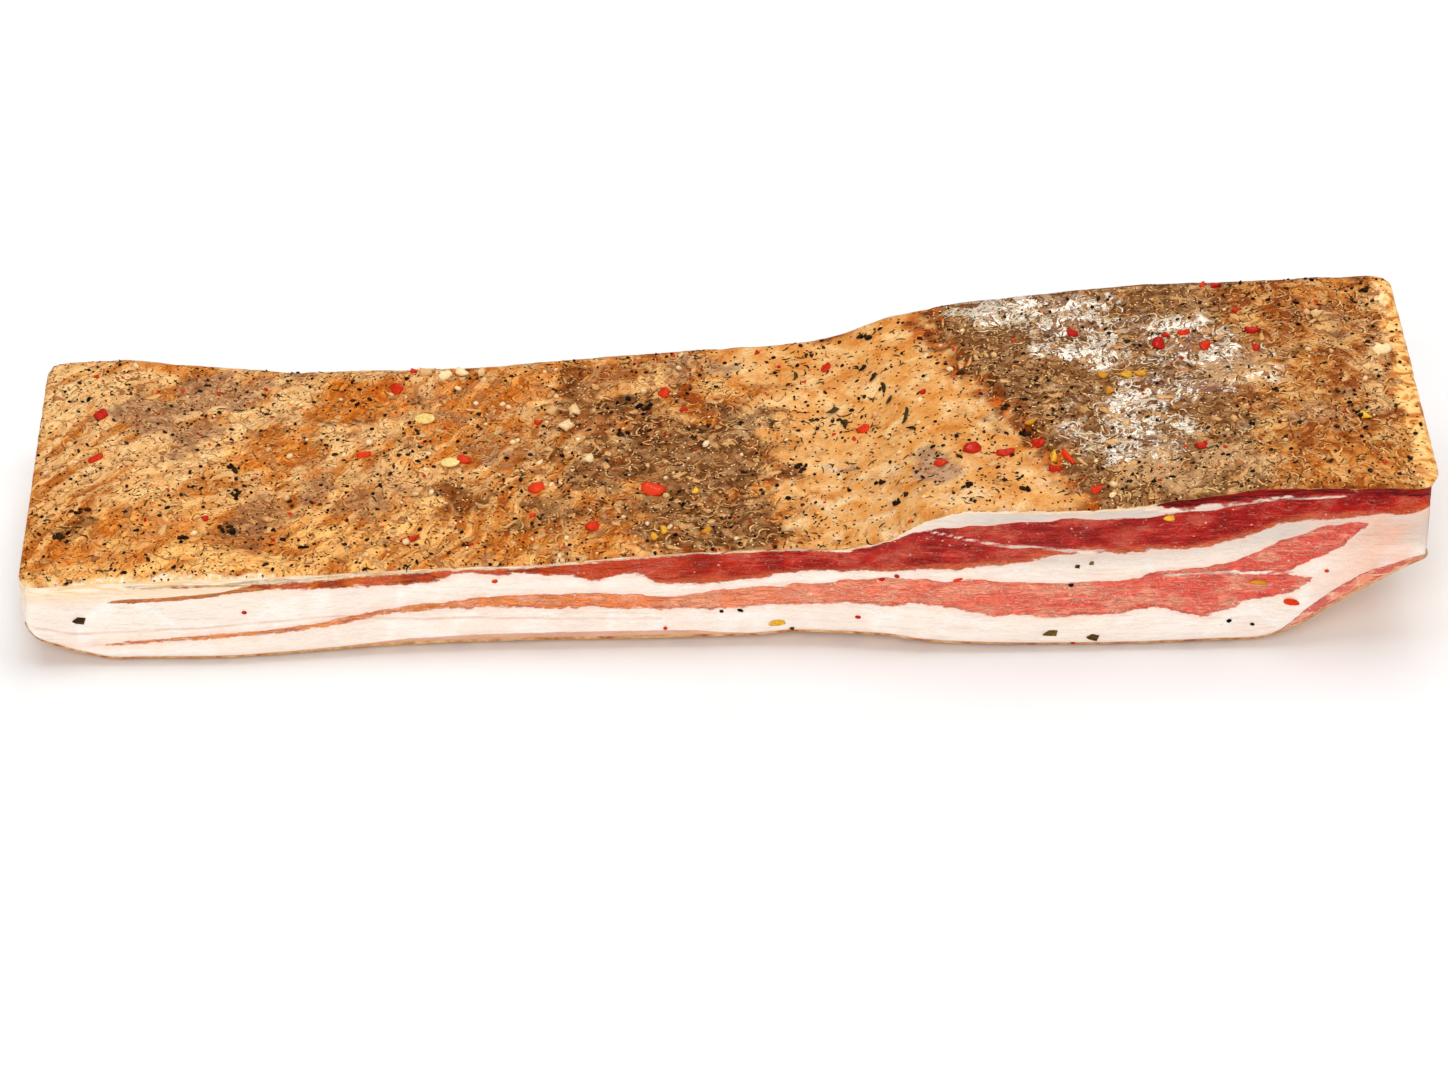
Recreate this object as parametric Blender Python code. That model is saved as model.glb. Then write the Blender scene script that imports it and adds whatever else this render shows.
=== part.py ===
"""Flat pancetta: one strip of cured pork belly, lying rind side down, its cut side showing fat and lean.

The slab runs along X, its knife-cut front faces -Y, and its seasoned outer side is on top.
Lengths in this script are millimetres, turned into metres when a mesh is written.
"""
import math
import random

import bmesh
import bpy
import numpy as np
from mathutils import Matrix, Vector, noise

MM = 0.001

# Size of the slab and of its main forms
LENGTH = 300.0
DEPTH = 85.0
FRONT = -DEPTH / 2
CORNER_ROUNDING = 5.0
BACK_LEFT_ROUNDING = 5.5
LIP = 0.6
CRUST = 1.2
SKIN = 0.8
FRONT_LIFT_REACH = 10.0
BACK_LIFT = 1.6
BACK_LIFT_REACH = 8.0
RIGHT_FOOT = 1.6
LEAN_HOLLOW = 0.5
FAT_SWELL = 0.35
THINNEST_BAND = 0.35
TOP_RELIEF = 0.9
MEMBRANE_STEP = 1.1

# How finely the slab is divided
CELL = 7.4
END_CELLS = (1.5, 3.5)
SIDE_LEVELS = 11
MERGE = 1e-7


def curve(*points):
    """A smooth line through a few (place, value) points that never overshoots them."""
    places = np.array([point[0] for point in points], float)
    values = np.array([point[1] for point in points], float)
    rises = np.diff(values) / np.diff(places)
    slopes = np.zeros(len(places))
    for i in range(1, len(places) - 1):
        before, after = rises[i - 1], rises[i]
        if before * after > 0:
            slopes[i] = 2 * before * after / (before + after)

    def value(place):
        place = min(max(place, places[0]), places[-1])
        i = min(int(np.searchsorted(places, place, side="right")) - 1, len(places) - 2)
        span = places[i + 1] - places[i]
        t = (place - places[i]) / span
        start = (1 + 2 * t) * (1 - t) ** 2 * values[i] + t * (1 - t) ** 2 * span * slopes[i]
        end = t * t * (3 - 2 * t) * values[i + 1] + t * t * (t - 1) * span * slopes[i + 1]
        return float(start + end)

    return value


def soft_step(t):
    """0 below 0, 1 above 1, and smooth between."""
    t = min(max(t, 0.0), 1.0)
    return t * t * (3 - 2 * t)


# Heights along the length: the top's two long edges, and the underside where it leaves the table
TOP_FRONT = curve((-150, 20.7), (-129, 21.9), (-110, 22.6), (-80, 22.2), (-50, 22.2), (-24, 24.2),
                  (5, 26.0), (22, 26.6), (33, 29.4), (42, 35.3), (52, 38.0), (80, 37.6), (99, 40.1),
                  (118, 42.3), (150, 41.4))
TOP_BACK = curve((-150, 22.9), (-135, 23.4), (-112, 21.4), (-94, 20.3), (-58, 20.3), (-28, 22.1),
                 (5, 24.9), (23, 26.8), (40, 32.6), (58, 35.6), (103, 40.0), (150, 41.8))
END_RISE = curve((-150, 8.2), (-146, 5.0), (-143, 3.7), (-137, 1.6), (-130, 0.0), (112, 0.0),
                 (120, 2.4), (129, 8.8), (139, 15.6), (147, 20.2), (150, 20.7))
FRONT_LIFT = curve((-150, 1.0), (-100, 0.9), (-72, 1.5), (-34, 1.6), (4, 2.0), (14, 3.0), (33, 3.4),
                   (43, 2.2), (62, 1.2), (80, 0.9), (114, 1.6), (150, 1.0))
FRONT_HOLLOW = curve((-150, 0.4), (-110, 0.0), (-91, 1.2), (-72, 2.8), (-45, 3.7), (-5, 3.7), (14, 3.4),
                     (23, 2.6), (33, 1.2), (42, 0.3), (52, 0.0), (150, 0.2))

# Heights of the two lean bands where they meet the fat
LEAN_LOW_UNDER = curve((-122, 6.4), (-91, 7.6), (-63, 11.0), (-34, 11.0), (-10, 9.8), (35, 12.2), (70, 9.3),
                       (95, 10.4), (112, 11.6), (120, 13.0), (126, 18.0), (150, 24.0))
LEAN_LOW_OVER = curve((-122, 6.8), (-91, 8.5), (-63, 12.8), (-34, 14.8), (-10, 13.8), (33, 19.2), (71, 17.9),
                      (100, 20.4), (112, 24.0), (120, 28.6), (134, 31.4), (150, 31.8))
LEAN_HIGH_UNDER = curve((-130, 16.2), (-100, 18.6), (-60, 19.4), (-24, 19.3), (-12, 16.6), (20, 19.8),
                        (45, 21.4), (72, 25.3), (95, 25.6), (109, 28.5), (118, 32.7), (137, 33.9),
                        (150, 35.4))
LEAN_HIGH_OVER = curve((-130, 18.4), (-100, 20.6), (-50, 21.9), (-24, 23.6), (0, 24.0), (24, 24.6),
                       (42, 31.4), (60, 33.4), (88, 33.4), (110, 38.0), (137, 41.0), (150, 41.2))

LEAN_EDGES = (LEAN_LOW_UNDER, LEAN_LOW_OVER, LEAN_HIGH_UNDER, LEAN_HIGH_OVER)

# The edge of the membrane that covers the right third of the top, as a place along X for each Y
MEMBRANE_EDGE = curve((-42, 77), (-23, 68), (0, 59), (20, 51), (42, 47))


def top_height(x, y):
    """Height of the seasoned top side."""
    across = soft_step((y - FRONT) / DEPTH)
    height = TOP_FRONT(x) * (1 - across) + TOP_BACK(x) * across
    from_edge = min(y - FRONT, DEPTH - (y - FRONT), LENGTH / 2 - abs(x))
    inside = 0.3 + 0.7 * soft_step(from_edge / 9)
    folds = noise.noise(Vector((x / 26, y / 17, 0.3))) + 0.6 * noise.noise(Vector((x / 9, y / 7, 4.1)))
    membrane = soft_step((x - MEMBRANE_EDGE(y)) / 3) - soft_step((x - MEMBRANE_EDGE(y) - 3) / 30)
    return height + inside * (TOP_RELIEF * folds + MEMBRANE_STEP * membrane)


def under_height(x, y):
    """Height of the rind: flat on the table, rounded up along its edges and at both ends."""
    front = max(0.0, 1 - (y - FRONT) / FRONT_LIFT_REACH) ** 2
    back = max(0.0, 1 - (DEPTH / 2 - y) / BACK_LIFT_REACH) ** 2
    return END_RISE(x) + FRONT_LIFT(x) * front + BACK_LIFT * back


def side_heights(x, y):
    """Heights of the side's levels at one place, from the rind up to the top."""
    across = (y - FRONT) / DEPTH
    under, top = under_height(x, y), top_height(x, y)
    share = top / TOP_FRONT(x)
    wave = across * (1.1 * math.sin(x / 19 + 1.0) + 0.7 * math.sin(x / 8.3))
    low, low_top, high, high_top = (line(x) * share + wave for line in LEAN_EDGES)
    levels = [under, under + SKIN, (under + SKIN + low) / 2, low, (low + low_top) / 2, low_top,
              (low_top + high) / 2, high, (high + high_top) / 2, high_top, top - CRUST, top]
    for i in range(1, SIDE_LEVELS):
        levels[i] = max(levels[i], levels[i - 1] + THINNEST_BAND)
    for i in reversed(range(1, SIDE_LEVELS)):
        levels[i] = min(levels[i], levels[i + 1] - THINNEST_BAND)
    return levels


# How far each side level stands out from the cut: rounded foot, swelling fat, hollow lean, crust lip
SIDE_RELIEF = (-1.1, -0.2, FAT_SWELL, 0.0, -LEAN_HOLLOW, 0.0, FAT_SWELL, 0.0, -LEAN_HOLLOW, 0.0, 0.2, LIP)


def stations(length, cell):
    """Places of the cuts along one side, from 0 to 1, with two finer cells at each end."""
    inner = length - 2 * END_CELLS[1]
    count = max(1, round(inner / cell))
    places = [END_CELLS[1] + inner * i / count for i in range(count + 1)]
    places += [END_CELLS[0], length - END_CELLS[0]]
    return sorted(place / length for place in places)


def round_corner(x, y):
    """Moves a point of the rectangle so that its four corners are rounded."""
    radius = BACK_LEFT_ROUNDING if x < 0 and y > 0 else CORNER_ROUNDING
    a = (abs(x) - (LENGTH / 2 - radius)) / radius
    b = (abs(y) - (DEPTH / 2 - radius)) / radius
    if a <= 0 or b <= 0:
        return x, y
    x = math.copysign(LENGTH / 2 - radius + radius * a * math.sqrt(1 - b * b / 2), x)
    y = math.copysign(DEPTH / 2 - radius + radius * b * math.sqrt(1 - a * a / 2), y)
    return x, y


def place_point(u, v, w):
    """The real place of a point of the unit block."""
    x, y = round_corner((u - 0.5) * LENGTH, (v - 0.5) * DEPTH)
    level = round(w * SIDE_LEVELS)
    z = side_heights(x, y)[level]
    relief = SIDE_RELIEF[level]
    near_front, near_back = (1 - v) ** 3, v ** 3
    foot = RIGHT_FOOT if 0 < level < SIDE_LEVELS - 1 else 0.0
    y += near_front * (LIP + FRONT_HOLLOW(x)) - near_back * (LIP + 0.5 + 0.5 * math.sin(x / 17))
    x += (LIP if u == 0 else 0) - ((LIP + foot) if u == 1 else 0)
    if level in (0, SIDE_LEVELS):
        y -= relief * (near_front ** 4 - near_back ** 4)
    else:
        y -= relief * ((v == 0) - (v == 1))
    x += relief * ((u == 1) - (u == 0))
    return Vector((x, y, z))


# Name, colour and roughness of each surface
SURFACES = {
    "crust": ((0.46, 0.27, 0.11), 0.35),
    "fat": ((0.93, 0.86, 0.78), 0.40),
    "lean": ((0.52, 0.09, 0.08), 0.35),
    "rind": ((0.66, 0.42, 0.24), 0.50),
    "chilli": ((0.55, 0.05, 0.02), 0.40),
    "seed": ((0.80, 0.62, 0.22), 0.40),
    "pepper": ((0.04, 0.03, 0.02), 0.50),
    "garlic": ((0.82, 0.62, 0.36), 0.50),
}
# Surface of each band of the cut side, from the rind up
BANDS = ("rind", "fat", "fat", "lean", "lean", "fat", "fat", "lean", "lean", "fat", "crust")


def make_material(name, color, roughness):
    """A plain surface with one colour."""
    material = bpy.data.materials.new(name)
    material.use_nodes = True
    shader = material.node_tree.nodes["Principled BSDF"]
    shader.inputs["Base Color"].default_value = (*color, 1)
    shader.inputs["Roughness"].default_value = roughness
    shader.inputs["Metallic"].default_value = 0.0
    return material


def face_surface(face):
    """The surface that a face of the unit block shows."""
    if abs(face.normal.z) > 0.5:
        return "crust" if face.normal.z > 0 else "rind"
    return BANDS[int(face.calc_center_median().z * SIDE_LEVELS)]


def make_slab(collection, materials):
    """The meat itself: a unit block cut into cells, each corner then moved to its real place."""
    body = bmesh.new()
    bmesh.ops.create_cube(body, size=1, matrix=Matrix.Translation((0.5, 0.5, 0.5)))
    levels = [level / SIDE_LEVELS for level in range(1, SIDE_LEVELS)]
    for axis, places in enumerate((stations(LENGTH, CELL), stations(DEPTH, CELL), levels)):
        direction = Matrix.Identity(3)[axis]
        for place in places:
            whole = body.verts[:] + body.edges[:] + body.faces[:]
            spot = direction * place
            bmesh.ops.bisect_plane(body, geom=whole, dist=MERGE, plane_co=spot, plane_no=direction)
    body.normal_update()
    names = list(SURFACES)
    for face in body.faces:
        face.material_index = names.index(face_surface(face))
    for vert in body.verts:
        vert.co = place_point(*vert.co) * MM
    flat = [face for face in body.faces if all(vert.co.z == 0 for vert in face.verts)]
    bmesh.ops.dissolve_faces(body, faces=flat, use_verts=False)
    mesh = bpy.data.meshes.new("pancetta_slab")
    body.to_mesh(mesh)
    body.free()
    for name in names:
        mesh.materials.append(materials[name])
    slab = bpy.data.objects.new("pancetta_slab", mesh)
    collection.objects.link(slab)
    return slab


# Seasoning large enough to be part of the solid: place along X and Y, length and width
CHILLI_FLAKES = (
    (-136, 19, 3.4, 3.2), (-136, 3, 4.0, 2.4), (-78, 5, 3.4, 2.2), (-72, 32, 4.6, 4.4), (-67, -28, 4.4, 2.8),
    (-56, 2, 3.4, 3.2), (-40, -10, 3.8, 3.6), (-28, -28, 3.2, 3.0), (-15, -15, 5.6, 4.8), (-12, 24, 3.0, 3.0),
    (24, 29, 3.0, 2.4), (31, 2, 3.2, 2.8), (46, -23, 3.4, 2.6), (53, -19, 4.2, 3.8), (60, -21, 4.2, 2.8),
    (67, -19, 3.6, 3.2), (73, -25, 7.0, 1.8), (78, -37, 2.6, 2.2), (78, 25, 3.0, 2.4), (96, 17, 4.0, 3.0),
    (101, -24, 3.2, 2.4), (102, 21, 3.0, 2.6), (106, 15, 4.2, 2.6), (111, 39, 3.4, 2.2), (117, 20, 3.8, 2.6),
)
CHILLI_SEEDS = (
    (-65, 19, 4.8, 3.6), (-59, 1, 4.2, 3.6), (84, 0, 2.6, 2.2), (83, 7, 2.6, 2.4), (88, 6, 3.4, 3.0),
)
GARLIC_GRAINS = (
    (-65, 39, 3.6, 3.0), (-60, 38, 3.2, 2.8), (-55, 39, 3.0, 2.6), (-34, 14, 3.8, 3.2), (-37, 21, 2.8, 2.4),
    (-32, 20, 2.8, 2.6), (-29, -1, 2.8, 2.4), (132, 26, 2.8, 2.6), (144, 10, 4.2, 3.6),
)
PEPPER_GRAINS = (
    (-141, -25, 2.8, 2.4), (-138, -16, 2.8, 2.4), (-106, -24, 2.6, 2.4), (-22, 9, 3.2, 2.6),
    (-21, 23, 3.2, 2.8), (-16, 19, 3.2, 2.6), (17, -9, 2.6, 2.6), (33, 36, 2.6, 2.4), (53, 11, 2.4, 2.0),
    (51, -34, 2.4, 2.2), (137, -16, 3.0, 2.6), (143, 34, 3.0, 2.6),
)
# The same on the cut side: place along X and Z, length and height
CUT_SIDE_GRAINS = (
    ("pepper", -137, 12, 3.3, 2.0), ("seed", 11, 6.5, 4.0, 1.8), ("pepper", 69, 5.0, 4.0, 2.0),
    ("pepper", 78, 3.8, 3.2, 2.0), ("seed", 93, 34, 2.8, 1.8), ("garlic", 113, 17, 4.2, 1.8),
    ("chilli", 120, 12.2, 3.8, 2.2), ("pepper", 107, 7.6, 2.2, 1.8),
)
FLAKE_THICKNESS = 1.5
FLAKE_SIDES = 6
FLAKE_SINK = 0.35
SPREAD_COLUMNS = 21
SPREAD_ROWS = 6
SPREAD_MARGIN = 4.0
SPREAD_SIZES = (1.9, 2.9)
SPREAD_KINDS = ("pepper", "pepper", "pepper", "chilli", "garlic")
CLEARANCE = 0.8


def make_grain(kind, collection, materials, spot, normal, length, width, turn, draw):
    """One flake or grain, half sunk in the surface that it lies on."""
    grain = bmesh.new()
    if kind in ("chilli", "garlic"):
        bmesh.ops.create_cone(grain, cap_ends=True, segments=FLAKE_SIDES, radius1=1, radius2=0.75, depth=1)
        thickness = FLAKE_THICKNESS
        for vert in grain.verts:
            vert.co.xy *= draw.uniform(0.85, 1.1)
    else:
        bmesh.ops.create_icosphere(grain, subdivisions=1, radius=1.0)
        thickness = width / 2
    shape = Matrix.Diagonal((length / 2, width / 2, thickness, 1))
    upright = Vector((0, 0, 1)).rotation_difference(normal).to_matrix().to_4x4()
    frame = Matrix.Translation(spot / MM) @ upright @ Matrix.Rotation(turn, 4, "Z") @ shape
    bmesh.ops.transform(grain, matrix=Matrix.Scale(MM, 4) @ frame, verts=grain.verts)
    mesh = bpy.data.meshes.new(kind)
    grain.to_mesh(mesh)
    grain.free()
    mesh.materials.append(materials[kind])
    collection.objects.link(bpy.data.objects.new(kind, mesh))


def spread_grains(taken, draw):
    """Places for the smaller grains: one in each cell of a net over the top, clear of the others."""
    width = (LENGTH - 2 * SPREAD_MARGIN) / SPREAD_COLUMNS
    height = (DEPTH - 2 * SPREAD_MARGIN) / SPREAD_ROWS
    for column in range(SPREAD_COLUMNS):
        for row in range(SPREAD_ROWS):
            x = -LENGTH / 2 + SPREAD_MARGIN + (column + draw.uniform(0.1, 0.9)) * width
            y = FRONT + SPREAD_MARGIN + (row + draw.uniform(0.1, 0.9)) * height
            size = draw.uniform(*SPREAD_SIZES)
            kind = draw.choice(SPREAD_KINDS)
            clear = all(math.dist((x, y), other[1:3]) > (size + other[3]) / 2 + CLEARANCE for other in taken)
            if clear:
                taken.append((kind, x, y, size, size * draw.uniform(0.7, 0.95)))
    return taken


def make_seasoning(slab, collection, materials):
    """All the grains that are fused to the slab, the largest first."""
    draw = random.Random(11)
    lists = {"chilli": CHILLI_FLAKES, "seed": CHILLI_SEEDS, "garlic": GARLIC_GRAINS, "pepper": PEPPER_GRAINS}
    placed = [(kind, *row) for kind, rows in lists.items() for row in rows]
    above = Vector((0, 0, 1))
    for kind, x, y, length, width in spread_grains(placed, draw):
        _, spot, normal, _ = slab.ray_cast(Vector((x * MM, y * MM, 1)), -above)
        spot = spot - normal * FLAKE_SINK * MM
        make_grain(kind, collection, materials, spot, normal, length, width, draw.uniform(0, math.pi), draw)
    ahead = Vector((0, 1, 0))
    for kind, x, z, length, width in CUT_SIDE_GRAINS:
        _, spot, normal, _ = slab.ray_cast(Vector((x * MM, -1, z * MM)), ahead)
        spot = spot - normal * FLAKE_SINK * MM
        make_grain(kind, collection, materials, spot, normal, length, width, 0.0, draw)


def fuse_seasoning(slab, seasoning):
    """Joins the grains to the slab in one union, then removes their own objects."""
    union = slab.modifiers.new("seasoning", "BOOLEAN")
    union.operation = "UNION"
    union.operand_type = "COLLECTION"
    union.collection = seasoning
    union.solver = "EXACT"
    union.material_mode = "TRANSFER"
    evaluated = slab.evaluated_get(bpy.context.evaluated_depsgraph_get())
    fused = bpy.data.meshes.new_from_object(evaluated)
    slab.modifiers.clear()
    slab.data = fused
    for grain in list(seasoning.objects):
        bpy.data.objects.remove(grain)
    bpy.data.collections.remove(seasoning)


def centre_on_base(slab):
    """Puts the origin in the middle of the box's base."""
    corners = [vert.co for vert in slab.data.vertices]
    low = Vector([min(corner[i] for corner in corners) for i in range(3)])
    high = Vector([max(corner[i] for corner in corners) for i in range(3)])
    middle = (low + high) / 2
    slab.data.transform(Matrix.Translation((-middle.x, -middle.y, -low.z)))


def main():
    for leftover in list(bpy.data.objects):
        bpy.data.objects.remove(leftover)
    pancetta = bpy.data.collections.new("pancetta")
    seasoning = bpy.data.collections.new("seasoning")
    bpy.context.scene.collection.children.link(pancetta)
    bpy.context.scene.collection.children.link(seasoning)
    materials = {name: make_material(name, *look) for name, look in SURFACES.items()}
    slab = make_slab(pancetta, materials)
    bpy.context.view_layer.update()
    make_seasoning(slab, seasoning, materials)
    fuse_seasoning(slab, seasoning)
    centre_on_base(slab)


main()
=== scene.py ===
"""Looks of the flat pancetta: marbled cut sides, a seasoned glossy top, a studio table and soft light.

Lengths are millimetres until a mesh is written, which is in metres.
"""
import math

import bmesh
import bpy
import numpy as np
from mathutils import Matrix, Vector, noise


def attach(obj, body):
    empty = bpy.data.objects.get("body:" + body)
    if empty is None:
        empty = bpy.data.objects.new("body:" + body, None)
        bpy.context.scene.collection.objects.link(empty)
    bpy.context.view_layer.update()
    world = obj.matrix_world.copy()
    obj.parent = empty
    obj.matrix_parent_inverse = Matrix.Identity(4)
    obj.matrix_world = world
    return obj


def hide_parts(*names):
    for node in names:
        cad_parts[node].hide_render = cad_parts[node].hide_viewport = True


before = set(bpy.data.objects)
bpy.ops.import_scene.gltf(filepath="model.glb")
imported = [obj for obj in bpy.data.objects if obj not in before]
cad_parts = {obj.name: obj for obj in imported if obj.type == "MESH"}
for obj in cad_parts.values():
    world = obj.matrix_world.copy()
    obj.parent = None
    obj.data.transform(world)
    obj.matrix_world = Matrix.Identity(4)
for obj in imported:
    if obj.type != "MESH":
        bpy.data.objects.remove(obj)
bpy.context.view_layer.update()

MM = 0.001
NODE = "pancetta_slab"

# Size of the slab and of its main forms, as in the solid
LENGTH = 300.0
DEPTH = 85.0
FRONT = -DEPTH / 2
CORNER_ROUNDING = 5.0
BACK_LEFT_ROUNDING = 5.5
LIP = 0.6
FRONT_LIFT_REACH = 10.0
BACK_LIFT = 1.6
BACK_LIFT_REACH = 8.0
RIGHT_FOOT = 1.6
LEAN_HOLLOW = 0.5
FAT_SWELL = 0.35
TOP_RELIEF = 0.9
MEMBRANE_STEP = 1.1

# What brings the middle of the slab's box to the middle of the table
CENTRE_SHIFT = (0.2, 0.09)

# Cells of the visible mesh: their size on the top, their number up the sides, and the levels near the top
TOP_CELL = 0.85
SIDE_CELLS = 42
SIDE_TOP = 0.965
TOP_LEVELS = (0.985, 1.0)
CRUST_LEVEL = 0.98


class Curve:
    """A smooth line through a few (place, value) points that never overshoots them."""

    def __init__(self, *points):
        self.places = np.array([point[0] for point in points], float)
        self.values = np.array([point[1] for point in points], float)
        rises = np.diff(self.values) / np.diff(self.places)
        self.slopes = np.zeros(len(points))
        for i in range(1, len(points) - 1):
            if rises[i - 1] * rises[i] > 0:
                self.slopes[i] = 2 * rises[i - 1] * rises[i] / (rises[i - 1] + rises[i])

    def __call__(self, place):
        place = np.clip(place, self.places[0], self.places[-1])
        i = np.clip(np.searchsorted(self.places, place, side="right") - 1, 0, len(self.places) - 2)
        span = self.places[i + 1] - self.places[i]
        t = (place - self.places[i]) / span
        start = (1 + 2 * t) * (1 - t) ** 2 * self.values[i] + t * (1 - t) ** 2 * span * self.slopes[i]
        end = t * t * (3 - 2 * t) * self.values[i + 1] + t * t * (t - 1) * span * self.slopes[i + 1]
        return start + end


def soft_step(t):
    """0 below 0, 1 above 1, and smooth between."""
    t = np.clip(t, 0.0, 1.0)
    return t * t * (3 - 2 * t)


def ripple(x, y, z=0.0):
    """Smooth noise, about -0.7 to 0.7, with features about 1 unit across."""
    x, y, z = np.broadcast_arrays(np.asarray(x, float), y, z)
    flat = (noise.noise(Vector(point)) for point in zip(x.ravel(), y.ravel(), z.ravel()))
    return np.fromiter(flat, float, x.size).reshape(x.shape)


def cloud(x, y, z=0.0, size=8.0, octaves=3):
    """Cloudy noise from 0 to 1 with features of the given size and finer ones in them."""
    total = sum(ripple(x * 2 ** i / size, y * 2 ** i / size, z * 2 ** i / size + 7.3 * i) / 1.8 ** i
                for i in range(octaves))
    return np.clip(0.5 + 0.75 * total, 0, 1)


def pebbles(x, y, z=0.0):
    """Domes of a cell pattern: about 1 in the middle of each cell and 0 at its edge."""
    x, y, z = np.broadcast_arrays(np.asarray(x, float), y, z)
    near = (noise.voronoi(Vector(point))[0] for point in zip(x.ravel(), y.ravel(), z.ravel()))
    rise = np.array([found[1] - found[0] for found in near]).reshape(x.shape)
    return soft_step(rise / 0.5)


# Heights along the length: the top's two long edges, and the underside where it leaves the table
TOP_FRONT = Curve((-150, 20.7), (-129, 21.9), (-110, 22.6), (-80, 22.2), (-50, 22.2), (-24, 24.2),
                  (5, 26.0), (22, 26.6), (33, 29.4), (42, 35.3), (52, 38.0), (80, 37.6), (99, 40.1),
                  (118, 42.3), (150, 41.4))
TOP_BACK = Curve((-150, 22.9), (-135, 23.4), (-112, 21.4), (-94, 20.3), (-58, 20.3), (-28, 22.1),
                 (5, 24.9), (23, 26.8), (40, 32.6), (58, 35.6), (103, 40.0), (150, 41.8))
END_RISE = Curve((-150, 8.2), (-146, 5.0), (-143, 3.7), (-137, 1.6), (-130, 0.0), (112, 0.0),
                 (120, 2.4), (129, 8.8), (139, 15.6), (147, 20.2), (150, 20.7))
FRONT_LIFT = Curve((-150, 1.0), (-100, 0.9), (-72, 1.5), (-34, 1.6), (4, 2.0), (14, 3.0), (33, 3.4),
                   (43, 2.2), (62, 1.2), (80, 0.9), (114, 1.6), (150, 1.0))
FRONT_HOLLOW = Curve((-150, 0.4), (-110, 0.0), (-91, 1.2), (-72, 2.8), (-45, 3.7), (-5, 3.7), (14, 3.4),
                     (23, 2.6), (33, 1.2), (42, 0.3), (52, 0.0), (150, 0.2))

# Lean bands of the cut, each between its lower and its upper edge; where they cross there is none
LEAN_BANDS = {
    "lean_low": (
        Curve((-137, 5.3), (-130, 5.3), (-121, 5.8), (-108, 6.8), (-91, 7.6), (-63, 11.0), (-34, 11.0),
              (-10, 9.8), (15, 11.2), (35, 12.2), (46, 11.6), (58, 9.8), (72, 9.2), (82, 9.8), (91, 11.4),
              (97, 9.6), (101, 8.6), (107, 11.0), (113, 13.0), (118, 13.8), (125, 18.6), (130, 22.0)),
        Curve((-137, 5.0), (-130, 5.8), (-121, 6.7), (-108, 7.7), (-91, 8.8), (-63, 12.8), (-53, 13.4),
              (-34, 14.8), (-10, 13.8), (4, 15.2), (23, 17.1), (33, 19.1), (50, 19.0), (71, 17.9),
              (90, 18.9), (100, 19.4), (118, 19.7), (124, 18.4), (130, 16.0)),
    ),
    "lean_rise": (
        Curve((84, 20.4), (92, 19.4), (102, 19.7), (119, 20.4), (123, 22.2), (127, 24.6), (131, 27.4),
              (134.5, 31.0), (138, 35.0)),
        Curve((84, 19.2), (92, 19.8), (100, 21.2), (108, 23.2), (114, 26.4), (119, 28.8), (128, 31.5),
              (133, 32.2), (138, 31.0)),
    ),
    "lean_high": (
        Curve((-106, 20.4), (-98, 19.0), (-88, 18.2), (-70, 18.0), (-62, 18.5), (-57, 19.8), (-53.5, 20.5),
              (-49, 19.6), (-34, 19.3), (-27, 17.6), (-23, 18.9), (-18, 19.3), (-14, 17.2), (-5, 16.9),
              (20, 19.6), (45, 21.4), (62, 23.6), (72, 25.3), (95, 25.6), (109, 28.5), (118, 32.7),
              (137, 33.9), (150, 35.6)),
        Curve((-106, 19.6), (-98, 20.6), (-88, 21.2), (-59, 21.5), (-53.5, 21.2), (-49, 21.6), (-40, 21.9),
              (-24, 23.4), (0, 24.9), (24, 25.5), (34, 28.4), (42, 31.4), (60, 33.4), (75, 34.2),
              (88, 33.9), (99, 35.9), (110, 37.6), (124, 39.0), (137, 40.4), (150, 40.8)),
    ),
    "line_upper": (
        Curve((-129, 20.4), (-125, 19.9), (-108, 19.9), (-96, 20.4), (-88, 21.0), (-82, 23.0)),
        Curve((-129, 20.0), (-125, 20.6), (-108, 20.7), (-96, 21.6), (-88, 20.8), (-82, 19.0)),
    ),
    "line_lower": (
        Curve((-134, 16.4), (-128, 16.1), (-113, 17.1), (-103, 18.3), (-96, 18.9), (-88, 19.9), (-82, 22.0)),
        Curve((-134, 16.0), (-128, 16.8), (-113, 17.9), (-103, 19.2), (-96, 19.9), (-88, 19.6), (-82, 18.0)),
    ),
    "lean_top": (
        Curve((80, 40.0), (86, 37.6), (92, 36.6), (101, 37.0), (110, 38.4), (119, 39.6), (134, 39.6),
              (150, 39.0)),
        Curve((80, 36.0), (86, 37.4), (92, 38.4), (101, 39.6), (110, 41.0), (119, 41.7), (134, 41.4),
              (150, 41.0)),
    ),
}
# Pale membranes and creases in the cut: one height along a stretch of the length
SEAMS = {
    "seam_high": (Curve((42, 31.0), (48, 29.6), (56, 28.0), (64, 26.8), (78, 25.6)), 43, 80),
    "seam_low": (Curve((92, 19.2), (104, 19.6), (118, 20.0), (128, 20.6)), 93, 127),
    "seam_fat": (Curve((-148, 10.2), (-137, 8.6), (-115, 9.6), (-85, 10.8), (-70, 9.2), (-14, 7.9)),
                 -147, -14),
    "seam_top": (Curve((86, 36.0), (98, 36.3), (110, 37.8), (118, 38.8), (134, 39.0)), 88, 130),
}
# The lean that lies along the slanted right end, as its depth above the rind there
TOE_DEPTH = Curve((113, -1.0), (118, 0.6), (124, 3.4), (134, 4.2), (142, 2.4), (148, 1.2), (150, 1.0))
# The skin's thickness above the table
SKIN_DEPTH = Curve((-150, 0.9), (-84, 1.2), (-66, 2.6), (-30, 3.1), (-8, 2.9), (2, 1.6), (10, 1.0),
                   (110, 0.9), (150, 1.1))

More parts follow.
